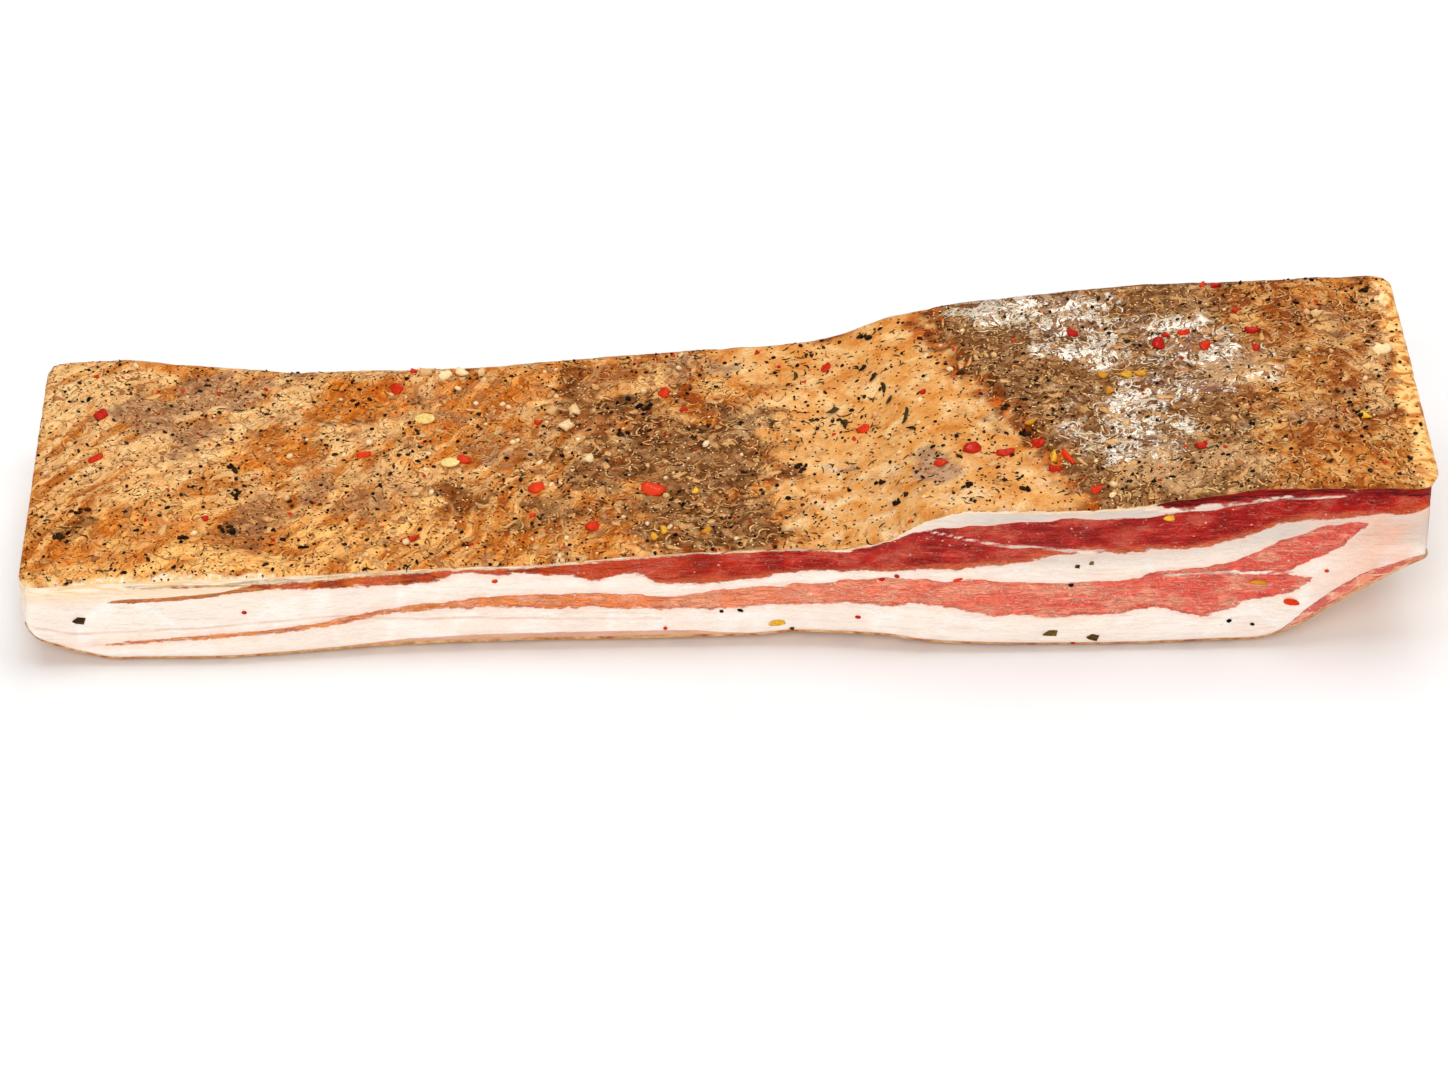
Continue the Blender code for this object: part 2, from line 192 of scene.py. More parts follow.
# The edge of the membrane that covers the right third of the top, as a place along X for each Y
MEMBRANE_EDGE = Curve((-42, 77), (-23, 68), (0, 59), (20, 51), (42, 47))

# Patches of the top, each an ellipse: middle X and Y, half length, half width, turn in degrees, strength
PATCHES = {
    "mauve": ((-126, 20, 7, 6, 20, 1.0), (-111, 30, 9, 7, 10, 1.0), (-116, 12, 8, 4, 60, 0.8),
              (-100, -22, 12, 5, 60, 0.9), (-88, -10, 9, 4, 60, 0.7), (-104, 36, 14, 4, 0, 0.6),
              (45, -24, 5, 9, 20, 0.9), (-60, 26, 9, 7, 0, 0.5), (-75, -14, 9, 6, 40, 0.6),
              (-5, 33, 10, 6, 0, 0.6), (-48, 8, 8, 8, 0, 0.5), (26, -14, 5, 8, 20, 0.4),
              (136, 22, 10, 8, 0, 0.5), (128, -12, 9, 8, 0, 0.6)),
    "orange": ((-121, -24, 10, 5, 0, 1.0), (-129, -18, 9, 5, 30, 0.9), (-100, 6, 14, 8, 45, 0.6),
               (-122, 40, 9, 3, 0, 1.0), (-138, -34, 14, 6, 0, 0.9), (-78, 30, 14, 10, 0, 0.9),
               (-50, 30, 18, 10, 10, 0.9), (48, 20, 5, 10, -20, 0.9), (-14, -30, 8, 6, 40, 0.9),
               (-40, -34, 20, 4, 0, 0.6), (35, 8, 4, 12, 0, 0.5), (136, 36, 9, 4, 0, 0.9),
               (66, -22, 6, 8, -30, 0.9), (124, 4, 6, 10, 0, 0.5), (146, -18, 4, 14, 0, 0.7),
               (120, -33, 26, 8, 0, 0.9), (-56, 12, 18, 8, 20, 0.8)),
    "pale": ((-144, 25, 5, 9, 0, 0.9), (-118, -1, 24, 4, 45, 1.0), (-98, 26, 22, 3, 50, 0.8),
             (-84, 6, 16, 3, 52, 0.6), (-26, 24, 7, 8, 0, 0.6), (-130, 6, 12, 3, 40, 0.8),
             (-100, -36, 14, 3, 10, 0.8), (5, 10, 5, 5, 0, 0.8), (-36, 22, 5, 4, 0, 0.7),
             (143, 0, 5, 18, 0, 0.6), (-138, -38, 14, 2.5, 0, 0.8), (114, 4, 8, 8, 0, 0.8),
             (99, -31, 16, 7, 0, 0.9)),
    "dark": ((-31, 24, 5, 12, 0, 0.9), (-19, 19, 10, 6, -20, 1.0), (-34, 3, 8, 5, 20, 0.8),
             (-103, -24, 5, 3, 30, 0.9), (-138, -22, 5, 6, 0, 0.6), (55, 12, 4, 9, 20, 0.8),
             (64, -14, 4, 10, 28, 0.9), (-58, -10, 9, 8, 0, 0.6), (-10, -26, 12, 10, 0, 0.4),
             (-22, 8, 12, 8, 0, 0.6), (104, 14, 10, 5, 0, 0.4), (130, 10, 8, 6, 0, 0.3),
             (-82, 16, 8, 5, 0, 0.4)),
    "grey": ((-6, -4, 15, 18, 20, 1.1), (-2, -28, 16, 11, 0, 1.1), (-38, -22, 9, 8, 0, 0.6),
             (-26, -6, 8, 7, 0, 0.7), (12, -8, 6, 9, 0, 0.6), (6, 9, 10, 9, 0, 0.9)),
    "fatty": ((36, 12, 21, 30, 0, 1.5), (13, 34, 12, 9, 0, 1.2), (46, -22, 26, 22, 10, 1.5),
              (60, -36, 18, 8, -10, 1.4)),
    "wet": ((71, 34, 14, 8, -10, 1.5), (84, 21, 14, 9, -20, 1.4), (99, 19, 12, 8, 0, 1.1),
            (93, -2, 15, 8, 20, 1.1), (88, -18, 12, 8, 0, 1.3), (111, 8, 10, 10, 0, 0.9)),
}


def patch_strength(kind, x, y):
    """How strongly the patches of one kind show at a place of the top, 1 or more in their middle."""
    strength = np.zeros_like(x)
    for middle_x, middle_y, half_length, half_width, turn, weight in PATCHES[kind]:
        cosine, sine = math.cos(math.radians(turn)), math.sin(math.radians(turn))
        along = ((x - middle_x) * cosine + (y - middle_y) * sine) / half_length
        across = ((y - middle_y) * cosine - (x - middle_x) * sine) / half_width
        strength = np.maximum(strength, weight * np.clip(1.6 - np.hypot(along, across), 0, 1))
    return strength


def top_masks(x, y):
    """How strongly each kind of patch shows on the top, from 0 to 1, with ragged edges."""
    masks = {}
    for number, kind in enumerate(PATCHES):
        ragged = 0.9 * (cloud(x, y, 3.7 * number, 6.0) - 0.5)
        masks[kind] = soft_step((patch_strength(kind, x, y) + ragged - 0.35) / 0.4)
    past = x - MEMBRANE_EDGE(y) + 5.0 * (cloud(x, y, 2.2, 5.0) - 0.5)
    film = soft_step((past + 0.6) / 1.2)
    masks["fatty"] = masks["fatty"] * (1 - film)
    far_end = soft_step((x + 16 * (cloud(x, y, 5.5, 9.0) - 0.5) - 106) / 12)
    masks["film"] = film * (1 - 0.7 * far_end)
    masks["shade"] = soft_step((past + 6) / 5) * (1 - soft_step((past - 1) / 3)) * cloud(x, y, 1.1, 4.0)
    masks["shade"] = np.clip(1.7 * masks["shade"], 0, 1)
    masks["tone"] = cloud(x, y, 9.9, 10.0, 4)
    masks["strand"] = strand_ridges(x, y)
    masks["strand_along"], masks["strand_across"] = strand_place(x, y)
    ragged = 3.0 * (cloud(x, y, 4.4, 4.0) - 0.5)
    masks["rim"] = soft_step((x - 145 + ragged) / 1.5)
    masks["cream"] = soft_step((FRONT + 2.2 + ragged - y) / 1.6) * soft_step((-10 - x) / 40)
    return masks


def top_height(x, y):
    """Height of the seasoned top side, without its fine relief."""
    across = soft_step((y - FRONT) / DEPTH)
    height = TOP_FRONT(x) * (1 - across) + TOP_BACK(x) * across
    from_edge = np.minimum(np.minimum(y - FRONT, FRONT + DEPTH - y), LENGTH / 2 - np.abs(x))
    inside = 0.3 + 0.7 * soft_step(from_edge / 9)
    folds = ripple(x / 26, y / 17, 0.3) + 0.6 * ripple(x / 9, y / 7, 4.1)
    past = x - MEMBRANE_EDGE(y)
    membrane = soft_step(past / 3) - soft_step((past - 3) / 30)
    return height + inside * (TOP_RELIEF * folds + MEMBRANE_STEP * membrane)


def strand_place(x, y):
    """Places along and across the strands of fat, which lean to the right and wander a little."""
    lean = np.radians(50 + 14 * soft_step((x + 125) / 50))
    wander = 4.0 * ripple(x / 24, y / 24, 9.0) + 1.2 * ripple(x / 7, y / 7, 3.0)
    return x * np.cos(lean) + y * np.sin(lean), y * np.cos(lean) - x * np.sin(lean) + wander


def strand_ridges(x, y):
    """Broad strands of fat on the left part of the top: 1 on their backs and 0 between them."""
    along, across = strand_place(x, y)
    return soft_step(1.15 - 2.6 * np.abs(ripple(along / 30, across / 5.2, 2.0)))


def crust_relief(x, y):
    """Fine relief of the top: fibres, lumps and granules, calmer on the bare fat."""
    along, across = strand_place(x, y)
    left = soft_step((-10 - x) / 50)
    fibres = (1 - 2 * np.abs(ripple(along / 11, across / 1.9, 2.0))) * (0.5 + 0.5 * left)
    fibres = fibres + 1.3 * left * strand_ridges(x, y)
    lumps = ripple(x / 3.4, y / 3.4, 5.0) + 0.6 * ripple(x / 1.8, y / 1.8, 6.0)
    granules = pebbles(x / 2.6 + 0.4 * lumps, y / 2.6, 7.0)
    fatty = np.clip(patch_strength("fatty", x, y), 0, 1) * soft_step((MEMBRANE_EDGE(y) - x) / 3)
    wet = np.clip(patch_strength("wet", x, y), 0, 1)
    wrinkles = np.sin(1.9 * (x + 3.5 * ripple(x / 7, y / 7, 1.0)) + 1.3 * y + 4 * ripple(x / 5, y / 5, 3.0))
    right = soft_step((x - MEMBRANE_EDGE(y)) / 4)
    smooth_rim = 1 - 0.75 * soft_step((x - 143) / 3)
    rough = 0.2 * fibres + 0.26 * lumps + 0.2 * granules
    rough = rough * (1 - 0.7 * fatty) * (1 - 0.3 * right) * (1 - 0.6 * wet)
    lace = 0.12 * ripple(x / 1.9, y / 1.9, 8.0) * wet
    return (rough + 0.03 * wrinkles * right + lace) * smooth_rim


def under_height(x, y):
    """Height of the rind: flat on the table, rounded up along its edges and at both ends."""
    front = np.maximum(0.0, 1 - (y - FRONT) / FRONT_LIFT_REACH) ** 2
    back = np.maximum(0.0, 1 - (DEPTH / 2 - y) / BACK_LIFT_REACH) ** 2
    return END_RISE(x) + FRONT_LIFT(x) * front + BACK_LIFT * back


def round_corners(x, y):
    """Moves points of the rectangle so that its four corners are rounded."""
    radius = np.where((x < 0) & (y > 0), BACK_LEFT_ROUNDING, CORNER_ROUNDING)
    a = np.clip((np.abs(x) - (LENGTH / 2 - radius)) / radius, 0, 1)
    b = np.clip((np.abs(y) - (DEPTH / 2 - radius)) / radius, 0, 1)
    corner = (a > 0) & (b > 0)
    round_x = np.copysign(LENGTH / 2 - radius + radius * a * np.sqrt(1 - b * b / 2), x)
    round_y = np.copysign(DEPTH / 2 - radius + radius * b * np.sqrt(1 - a * a / 2), y)
    return np.where(corner, round_x, x), np.where(corner, round_y, y)


def cut_layers(x, y, z):
    """Depth of a place inside each layer of the meat, in millimetres; the layers run right through it."""
    across = (y - FRONT) / DEPTH
    top, under = top_height(x, y), under_height(x, y)
    level = z / (top / TOP_FRONT(x)) - across * (1.1 * np.sin(x / 19 + 1.0) + 0.7 * np.sin(x / 8.3))
    wander = (0.25 + 0.75 * soft_step((x + 95) / 70)) * 1.3 * (cloud(x, y, z * 2.4, 8.0, 2) - 0.5)
    layers = {name: np.minimum(level - low(x), high(x) - level) + wander
              for name, (low, high) in LEAN_BANDS.items()}
    for name, (line, start, end) in SEAMS.items():
        inside = np.minimum(x - start, end - x)
        layers[name] = np.hypot(level - line(x) + 0.5 * wander, np.maximum(0, -inside))
    above_rind = z - under
    layers["toe"] = np.minimum(above_rind - 0.8, 0.8 + TOE_DEPTH(x) - above_rind)
    layers["rind"] = SKIN_DEPTH(x) - above_rind
    layers["sole"] = 0.45 + 0.35 * SKIN_DEPTH(x) - above_rind
    layers["below_top"] = top - z
    return layers


def place_points(u, v, w):
    """Real places of points of the unit block, and of its side layers there."""
    x, y = round_corners((u - 0.5) * LENGTH, (v - 0.5) * DEPTH)
    under, top = under_height(x, y), top_height(x, y)
    z = under + (top - under) * w
    layers = cut_layers(x, y, z)
    lean = np.maximum.reduce([layers[name] for name in LEAN_BANDS] + [layers["toe"]])
    above, below = z - under, top - z
    relief = -LEAN_HOLLOW * soft_step((lean + 0.2) / 0.9) + FAT_SWELL * soft_step((-lean - 0.4) / 3)
    lip = (LIP - 0.2) * (0.1 + 0.9 * soft_step((x + 70) / 60))
    relief += -1.1 * (1 - soft_step(above / 2.2)) + lip * (1 - soft_step(below / 1.4))
    relief += 0.12 * ripple(x / 5, z / 2.2 + y / 3, 8.0) - 0.15 * (1 - soft_step(layers["seam_fat"] / 0.5))
    near_front, near_back = (1 - v) ** 3, v ** 3
    foot = RIGHT_FOOT * soft_step(above / 1.0) * soft_step((below - 0.8) / 1.2)
    flat = (w == 0) | (w == 1)
    front_side = np.where(flat, near_front ** 4, v == 0)
    back_side = np.where(flat, near_back ** 4, v == 1)
    new_y = y + near_front * (LIP + FRONT_HOLLOW(x)) - near_back * (LIP + 0.5 + 0.5 * np.sin(x / 17))
    new_y -= relief * (front_side - back_side)
    new_x = x + LIP * (u == 0) - (LIP + foot) * (u == 1) + relief * ((u == 1) * 1.0 - (u == 0) * 1.0)
    edge = np.minimum(np.minimum(v * DEPTH, (1 - v) * DEPTH), np.minimum(u * LENGTH, (1 - u) * LENGTH))
    fine = crust_relief(x, y) * (0.35 + 0.65 * soft_step(edge / 3)) - 0.35 * (1 - soft_step(edge / 1.2))
    new_z = np.where(w == 1, top + fine, z + fine * (1 - soft_step(below / 2.5)) * (below < 2.5))
    return new_x + CENTRE_SHIFT[0], new_y + CENTRE_SHIFT[1], new_z, layers


def new_object(name, points, faces, floats):
    """A mesh object from arrays of points in millimetres and of faces, with float values on its points."""
    mesh = bpy.data.meshes.new(name)
    mesh.from_pydata((np.asarray(points) * MM).tolist(), [], np.asarray(faces).tolist())
    mesh.polygons.foreach_set("use_smooth", np.ones(len(mesh.polygons), bool))
    for label, values in floats.items():
        attribute = mesh.attributes.new(label, "FLOAT", "POINT")
        attribute.data.foreach_set("value", np.asarray(values, np.float32))
    mesh.update()
    piece = bpy.data.objects.new(name, mesh)
    bpy.context.scene.collection.objects.link(piece)
    return piece


def block_surface(us, vs, ws):
    """Points and outward quads of the surface of a block that is divided along its three sides."""
    count = (len(us), len(vs), len(ws))
    i, j, k = np.indices(count)
    shell = (i % (count[0] - 1) == 0) | (j % (count[1] - 1) == 0) | (k % (count[2] - 1) == 0)
    index = np.full(count, -1)
    index[shell] = np.arange(shell.sum())

    def quads(grid, outward):
        corners = (grid[:-1, :-1], grid[1:, :-1], grid[1:, 1:], grid[:-1, 1:])
        loop = np.stack([corner.ravel() for corner in corners], axis=1)
        return loop if outward else loop[:, ::-1]

    faces = np.concatenate([
        quads(index[:, :, -1], True), quads(index[:, :, 0], False), quads(index[:, 0, :], True),
        quads(index[:, -1, :], False), quads(index[0, :, :], False), quads(index[-1, :, :], True)])
    return us[i[shell]], vs[j[shell]], ws[k[shell]], faces


def slab_floats(x, y, z, layers):
    """What the materials read on each point: depth in every layer, and the patches of the top."""
    floats = {
        "lean_low": np.maximum(layers["lean_low"], layers["lean_rise"]),
        "lean_high": np.maximum(layers["lean_high"], layers["lean_top"]),
        "lean_lines": np.maximum(layers["line_lower"], layers["line_upper"]),
        "lean_toe": np.where(x > 112, layers["toe"], -5.0),
        "seam": np.minimum.reduce([layers[name] for name in ("seam_high", "seam_low", "seam_top")]),
        "crease": layers["seam_fat"],
        "rind": layers["rind"],
        "sole": layers["sole"],
        "below_top": layers["below_top"],
        "fat_tone": cloud(x, y, z, 16.0, 3),
        "lean_tone": cloud(x, y, 2.2 * z, 8.0, 3),
    }
    floats.update(top_masks(x, y))
    return floats


def make_slab(cut, crust):
    """The meat: one closed surface, with the crust's material on its top and the cut's on the rest."""
    us = np.linspace(0, 1, round(LENGTH / TOP_CELL) + 1)
    vs = np.linspace(0, 1, round(DEPTH / TOP_CELL) + 1)
    ws = np.concatenate([np.linspace(0, SIDE_TOP, SIDE_CELLS), TOP_LEVELS])
    u, v, w, faces = block_surface(us, vs, ws)
    x, y, z, layers = place_points(u, v, w)
    slab = new_object("pancetta_meat", np.stack([x, y, z], axis=1), faces, slab_floats(x, y, z, layers))
    slab.data.materials.append(cut)
    slab.data.materials.append(crust)
    is_crust = np.all(w[faces] > CRUST_LEVEL, axis=1)
    slab.data.polygons.foreach_set("material_index", is_crust.astype(np.int32))
    body = bmesh.new()
    body.from_mesh(slab.data)
    flat = [face for face in body.faces if all(vert.co.z == 0 for vert in face.verts)]
    for face in bmesh.ops.dissolve_faces(body, faces=flat, use_verts=False)["region"]:
        face.smooth = False
    body.to_mesh(slab.data)
    body.free()
    return slab


def light_value(level):
    """A 0 to 255 screen level as light."""
    level = level / 255
    return level / 12.92 if level <= 0.04045 else ((level + 0.055) / 1.055) ** 2.4


def tone(red, green, blue):
    """A colour given by its screen levels."""
    return (light_value(red), light_value(green), light_value(blue), 1.0)


class Surface:
    """Short calls for building one material out of nodes, in millimetres of the object's own space.

    A colour is given by its three screen levels from 0 to 255.
    """

    def __init__(self, name, roughness, **settings):
        self.material = bpy.data.materials.new(name)
        self.material.use_nodes = True
        self.tree = self.material.node_tree
        self.shader = self.tree.nodes["Principled BSDF"]
        self.set("Roughness", roughness)
        for label, value in settings.items():
            self.set(label.replace("_", " "), value)
        place = self.tree.nodes.new("ShaderNodeTexCoord").outputs["Object"]
        self.place = self.node("ShaderNodeVectorMath", 0, {0: place, "Scale": 1 / MM}, operation="SCALE")
        self.place_x = self.node("ShaderNodeSeparateXYZ", 0, {0: self.place})
        self.flat = self.node("ShaderNodeVectorMath", 0, {0: self.place, 1: (1, 1, 0)}, operation="MULTIPLY")

    def set(self, label, value):
        self.join(self.shader.inputs[label], value)

    def join(self, socket, value):
        if isinstance(value, bpy.types.NodeSocket):
            self.tree.links.new(value, socket)
        elif socket.type == "RGBA" and len(value) == 3:
            socket.default_value = tone(*value)
        else:
            socket.default_value = value

    def parts(self, kind, inputs, **settings):
        """Every output of a new node."""
        made = self.tree.nodes.new(kind)
        for label, value in settings.items():
            setattr(made, label, value)
        for label, value in inputs.items():
            self.join(made.inputs[label], value)
        return made.outputs

    def node(self, kind, output, inputs, **settings):
        """One output of a new node."""
        return self.parts(kind, inputs, **settings)[output]

    def value(self, name):
        return self.node("ShaderNodeAttribute", "Fac", {}, attribute_name=name)

    def math(self, operation, *values):
        """One value from several, taken in by one operation after another."""
        total = values[0]
        for value in values[1:]:
            total = self.node("ShaderNodeMath", 0, {0: total, 1: value}, operation=operation)
        return total

    def times(self, *values):
        return self.math("MULTIPLY", *values)

    def plus(self, *values):
        return self.math("ADD", *values)

    def minus(self, a, b):
        return self.math("SUBTRACT", a, b)

    def most(self, *values):
        return self.math("MAXIMUM", *values)

    def size_of(self, value):
        return self.node("ShaderNodeMath", 0, {0: value}, operation="ABSOLUTE")

    def stretch(self, size):
        """The place with each axis divided by a size."""
        size = size if isinstance(size, tuple) else (size, size, size)
        return self.node("ShaderNodeVectorMath", 0, {0: self.place, 1: size}, operation="DIVIDE")

    def noise(self, size, detail=3.0, roughness=0.5, distortion=0.0):
        inputs = {"Vector": self.stretch(size), "Scale": 1.0, "Detail": detail,
                  "Roughness": roughness, "Distortion": distortion}
        return self.node("ShaderNodeTexNoise", "Fac", inputs)

    def cells(self, size, **settings):
        """Distance to the nearest point of a cell pattern, or to the nearest edge of a cell."""
        inputs = {"Vector": self.stretch(size), "Scale": 1.0}
        return self.node("ShaderNodeTexVoronoi", "Distance", inputs, **settings)

    def between(self, value, low, high, to_low=0.0, to_high=1.0, kind="SMOOTHSTEP"):
        """A change from one value to another as the input goes from low to high."""
        inputs = {"Value": value, "From Min": low, "From Max": high, "To Min": to_low, "To Max": to_high}
        return self.node("ShaderNodeMapRange", 0, inputs, interpolation_type=kind)

    def mix(self, share, a, b):
        """The first colour where the share is 0 and the second where it is 1."""
        return self.node("ShaderNodeMix", 2, {0: share, 6: a, 7: b}, data_type="RGBA")

    def lay(self, under, over, share, strength=1.0):
        """A colour laid over another, as much of it as the share times the strength."""
        return self.mix(share if strength == 1.0 else self.times(share, strength), under, over)

    def ramp(self, value, *stops):
        made = self.tree.nodes.new("ShaderNodeValToRGB")
        elements = made.color_ramp.elements
        for _ in range(len(stops) - 2):
            elements.new(0.5)
        for element, (place, levels) in zip(elements, stops):
            element.position, element.color = place, tone(*levels)
        self.join(made.inputs[0], value)
        return made.outputs[0]

    def bump(self, height, distance, strength=1.0):
        inputs = {"Height": height, "Distance": distance * MM, "Strength": strength}
        return self.node("ShaderNodeBump", 0, inputs)


def line_mask(s, value, middle, width):
    """1 along the line where a value passes its middle, fading to 0 at the given width."""
    return s.between(s.size_of(s.minus(value, middle)), width, width * 0.3)


def fat_color(s, depth):
    """Cream fat: greyer high up on the right, pinker at the right end, warmer beside the lean."""
    along, below_top, fat_tone = s.place_x, s.value("below_top"), s.value("fat_tone")
    fat = s.ramp(fat_tone, (0.3, (252, 236, 222)), (0.55, (253, 242, 232)), (0.75, (250, 232, 218)))
    high_up = s.times(s.between(below_top, 18.0, 12.0), s.between(along, 30.0, 60.0))
    fat = s.lay(fat, (214, 200, 188), high_up, 0.85)
    pink = s.times(s.between(along, 116.0, 150.0), s.between(fat_tone, 0.2, 0.8))
    fat = s.lay(fat, (244, 182, 152), pink, 0.9)
    near_low = s.between(depth("lean_low", 2.0), -1.8, 0.0)
    near_high = s.between(depth("lean_high", 2.0), -1.4, 0.0)
    fat = s.lay(fat, (250, 206, 182), s.most(near_low, near_high), 0.45)
    fat = s.lay(fat, (230, 184, 160), s.between(s.value("crease"), 0.5, 0.1), 0.5)
    peach = s.times(s.between(along, -84.0, -112.0), s.between(below_top, 6.5, 3.5))
    return s.lay(fat, (252, 218, 180), peach, 0.7)


def low_lean_color(s, depth, grain, thread, painted_glint):
    """The lower lean: orange at the left and pink at the right, with grain, threads and painted glints."""
    lean = s.ramp(s.between(s.place_x, -135.0, 135.0), (0.0, (244, 156, 80)), (0.27, (252, 146, 76)),
                  (0.42, (255, 144, 88)), (0.6, (255, 144, 108)), (0.78, (250, 118, 92)),
                  (1.0, (236, 92, 76)))
    lean = s.lay(lean, (242, 158, 128), s.between(grain, 0.5, 0.68))
    lean = s.lay(lean, (206, 78, 68), s.between(grain, 0.43, 0.28, 0.0, 0.5))
    lean = s.lay(lean, (252, 176, 140), s.between(s.value("lean_tone"), 0.55, 0.85), 0.5)
    lean = s.lay(lean, (252, 206, 182), thread, 0.6)
    lean = s.lay(lean, (255, 232, 216), painted_glint, 0.8)
    rim = s.times(s.between(depth("lean_low"), 0.7, 0.25), s.between(grain, 0.45, 0.6))
    return s.lay(lean, (196, 52, 40), rim, 0.5)


def high_lean_color(s, depth, grain, thread, painted_glint):
    """The upper lean: orange brown at the left, deep red at the right, lighter along its lower edge, with a
    painted orange glow at its right corner and painted glints.
    """
    along, below_top, lean_tone = s.place_x, s.value("below_top"), s.value("lean_tone")
    lean = s.ramp(s.between(along, -110.0, 150.0), (0.0, (218, 112, 34)), (0.12, (220, 92, 26)),
                  (0.3, (210, 62, 26)), (0.45, (194, 38, 22)), (0.75, (188, 44, 36)), (1.0, (186, 12, 4)))
    lean = s.lay(lean, (216, 96, 72), s.between(lean_tone, 0.55, 0.85), 0.6)
    lean = s.lay(lean, (136, 8, 6), s.between(lean_tone, 0.5, 0.2), 0.6)
    lean = s.lay(lean, (216, 84, 64), s.between(grain, 0.53, 0.72))
    lean = s.lay(lean, (126, 6, 4), s.between(grain, 0.42, 0.3, 0.0, 0.6))
    bottom_edge = s.times(s.between(depth("lean_high"), 1.6, 0.2), s.between(below_top, 5.0, 8.0))
    lean = s.lay(lean, (218, 104, 62), bottom_edge, 0.8)
    # Painted glow: light shining through the lean at its right corner, painted orange
    painted_corner_glow = s.times(s.between(along, 136.0, 150.0), s.between(below_top, 3.0, 7.0))
    lean = s.lay(lean, (226, 96, 40), painted_corner_glow)
    lean = s.lay(lean, (230, 150, 128), thread, 0.45)
    return s.lay(lean, (250, 214, 196), painted_glint, 0.7)


def toe_color(s, depth, grain, thread):
    """The thin lean along the slanted right end, dark towards its edge."""
    toe = s.mix(s.between(s.value("lean_tone"), 0.4, 0.7), (206, 66, 48), (238, 140, 104))
    toe = s.lay(toe, (184, 34, 22), s.between(depth("lean_toe", 0.8), 0.75, 0.3))
    toe = s.lay(toe, (252, 206, 176), s.between(grain, 0.56, 0.66))
    return s.lay(toe, (252, 216, 190), thread, 0.8)


def top_edge_color(s, color, depth, grain, is_high):
    """The upper edge of the cut: a dark red line at the right, and a cream and brown fringe of the crust."""
    along = s.place_x
    dark_top = s.times(s.between(along, 84.0, 92.0), s.between(depth("below_top", 2.0), 3.4, 2.6))
    dark_red = s.mix(s.between(grain, 0.42, 0.6), (92, 2, 2), (168, 20, 10))
    color = s.lay(color, dark_red, dark_top, is_high)
    cream_height = s.between(along, -90.0, -60.0, 2.6, 1.6, "LINEAR")
    cream = s.between(s.minus(depth("below_top", 1.4), cream_height), 0.3, -0.3)
    cream = s.times(cream, s.between(s.times(is_high, s.between(along, 70.0, 90.0)), 1.0, 0.3))
    cream_tone = s.mix(s.between(grain, 0.4, 0.6), (254, 238, 212), (246, 206, 150))
    color = s.lay(color, cream_tone, cream, 0.85)
    fringe = s.between(depth("below_top", 1.6), 1.0, 0.6)
    fringe_tone = s.ramp(s.noise(1.6, 3.0, 0.6, 1.0), (0.36, (96, 42, 10)), (0.46, (176, 104, 36)),
                         (0.62, (222, 164, 92)))
    return s.lay(color, fringe_tone, fringe, s.between(along, -40.0, 20.0, 0.1, 0.9))


def skin_color(s, color, depth, grain):
    """The skin along the underside, pinkish above and brown at the rind's face."""
    skin = s.between(depth("rind", 0.3), -0.1, 0.1)
    color = s.lay(color, s.mix(grain, (190, 118, 84), (240, 188, 160)), skin, 0.85)
    rind = s.ramp(s.noise(2.6, 4.0, 0.62), (0.34, (176, 96, 40)), (0.5, (220, 158, 92)),
                  (0.66, (240, 196, 140)))
    return s.lay(color, rind, s.between(depth("sole", 0.25), -0.05, 0.25))


def cut_surface():
    """The cut meat: pale fat, two lean layers with their strands, fine membranes and the rind below."""
    s = Surface("cut_meat", 0.35, Subsurface_Weight=0.15, Subsurface_Scale=0.0016, Coat_Weight=0.12,
                Coat_Roughness=0.1, IOR=1.42, Specular_IOR_Level=0.07, Subsurface_Radius=(1.0, 0.45, 0.3))
    fine = s.noise((1.9, 1.2, 0.75), 4.0, 0.62)
    grain = s.noise((8, 3, 0.8), 4.0, 0.62, 0.6)
    strands = s.noise((5.5, 2.5, 1.3), 3.0, 0.55, 2.2)
    wander = s.between(fine, 0.25, 0.75, -0.28, 0.28)

    def depth(name, share=1.0):
        """How deep a place is in a layer whose edge wanders a little."""
        return s.plus(s.value(name), s.times(wander, share))

    bundles = s.cells((5.0, 3.0, 2.6), feature="DISTANCE_TO_EDGE")
    net = s.times(s.between(bundles, 0.06, 0.01), s.between(s.value("lean_tone"), 0.4, 0.6), 0.4)
    thread = s.most(s.times(line_mask(s, strands, 0.5, 0.022), s.between(fine, 0.42, 0.58)), net)
    # Painted glints: small pale dots on the lean that stand in for highlights
    painted_glint = s.times(s.between(s.cells((1.9, 1.9, 1.5)), 0.17, 0.1),
                   s.between(s.noise(3.0, 1.0, 0.5), 0.54, 0.58))

    is_low = s.between(depth("lean_low"), -0.18, 0.2)
    is_high = s.between(depth("lean_high"), -0.18, 0.2)
    is_line = s.between(depth("lean_lines", 0.5), -0.1, 0.1)
    is_toe = s.between(depth("lean_toe", 0.8), -0.15, 0.15)
    color = s.lay(fat_color(s, depth), low_lean_color(s, depth, grain, thread, painted_glint), is_low)
    color = s.lay(color, s.mix(grain, (196, 100, 36), (232, 158, 96)), is_line)
    color = s.lay(color, high_lean_color(s, depth, grain, thread, painted_glint), is_high)
    color = s.lay(color, toe_color(s, depth, grain, thread), is_toe, 0.9)
    color = s.lay(color, (250, 226, 208), s.between(depth("seam", 0.4), 0.55, 0.2), 0.92)
    color = top_edge_color(s, color, depth, grain, is_high)
    s.set("Base Color", skin_color(s, color, depth, grain))

    is_lean = s.most(is_low, is_high, is_line)
    s.set("Roughness", s.between(is_lean, 0.0, 1.0, 0.42, 0.26))
    height = s.plus(s.times(line_mask(s, strands, 0.5, 0.06), 0.25), s.times(grain, 0.3))
    s.set("Normal", s.bump(s.times(height, s.between(is_lean, 0.0, 1.0, 0.15, 1.0)), 1.0))
    return s.material


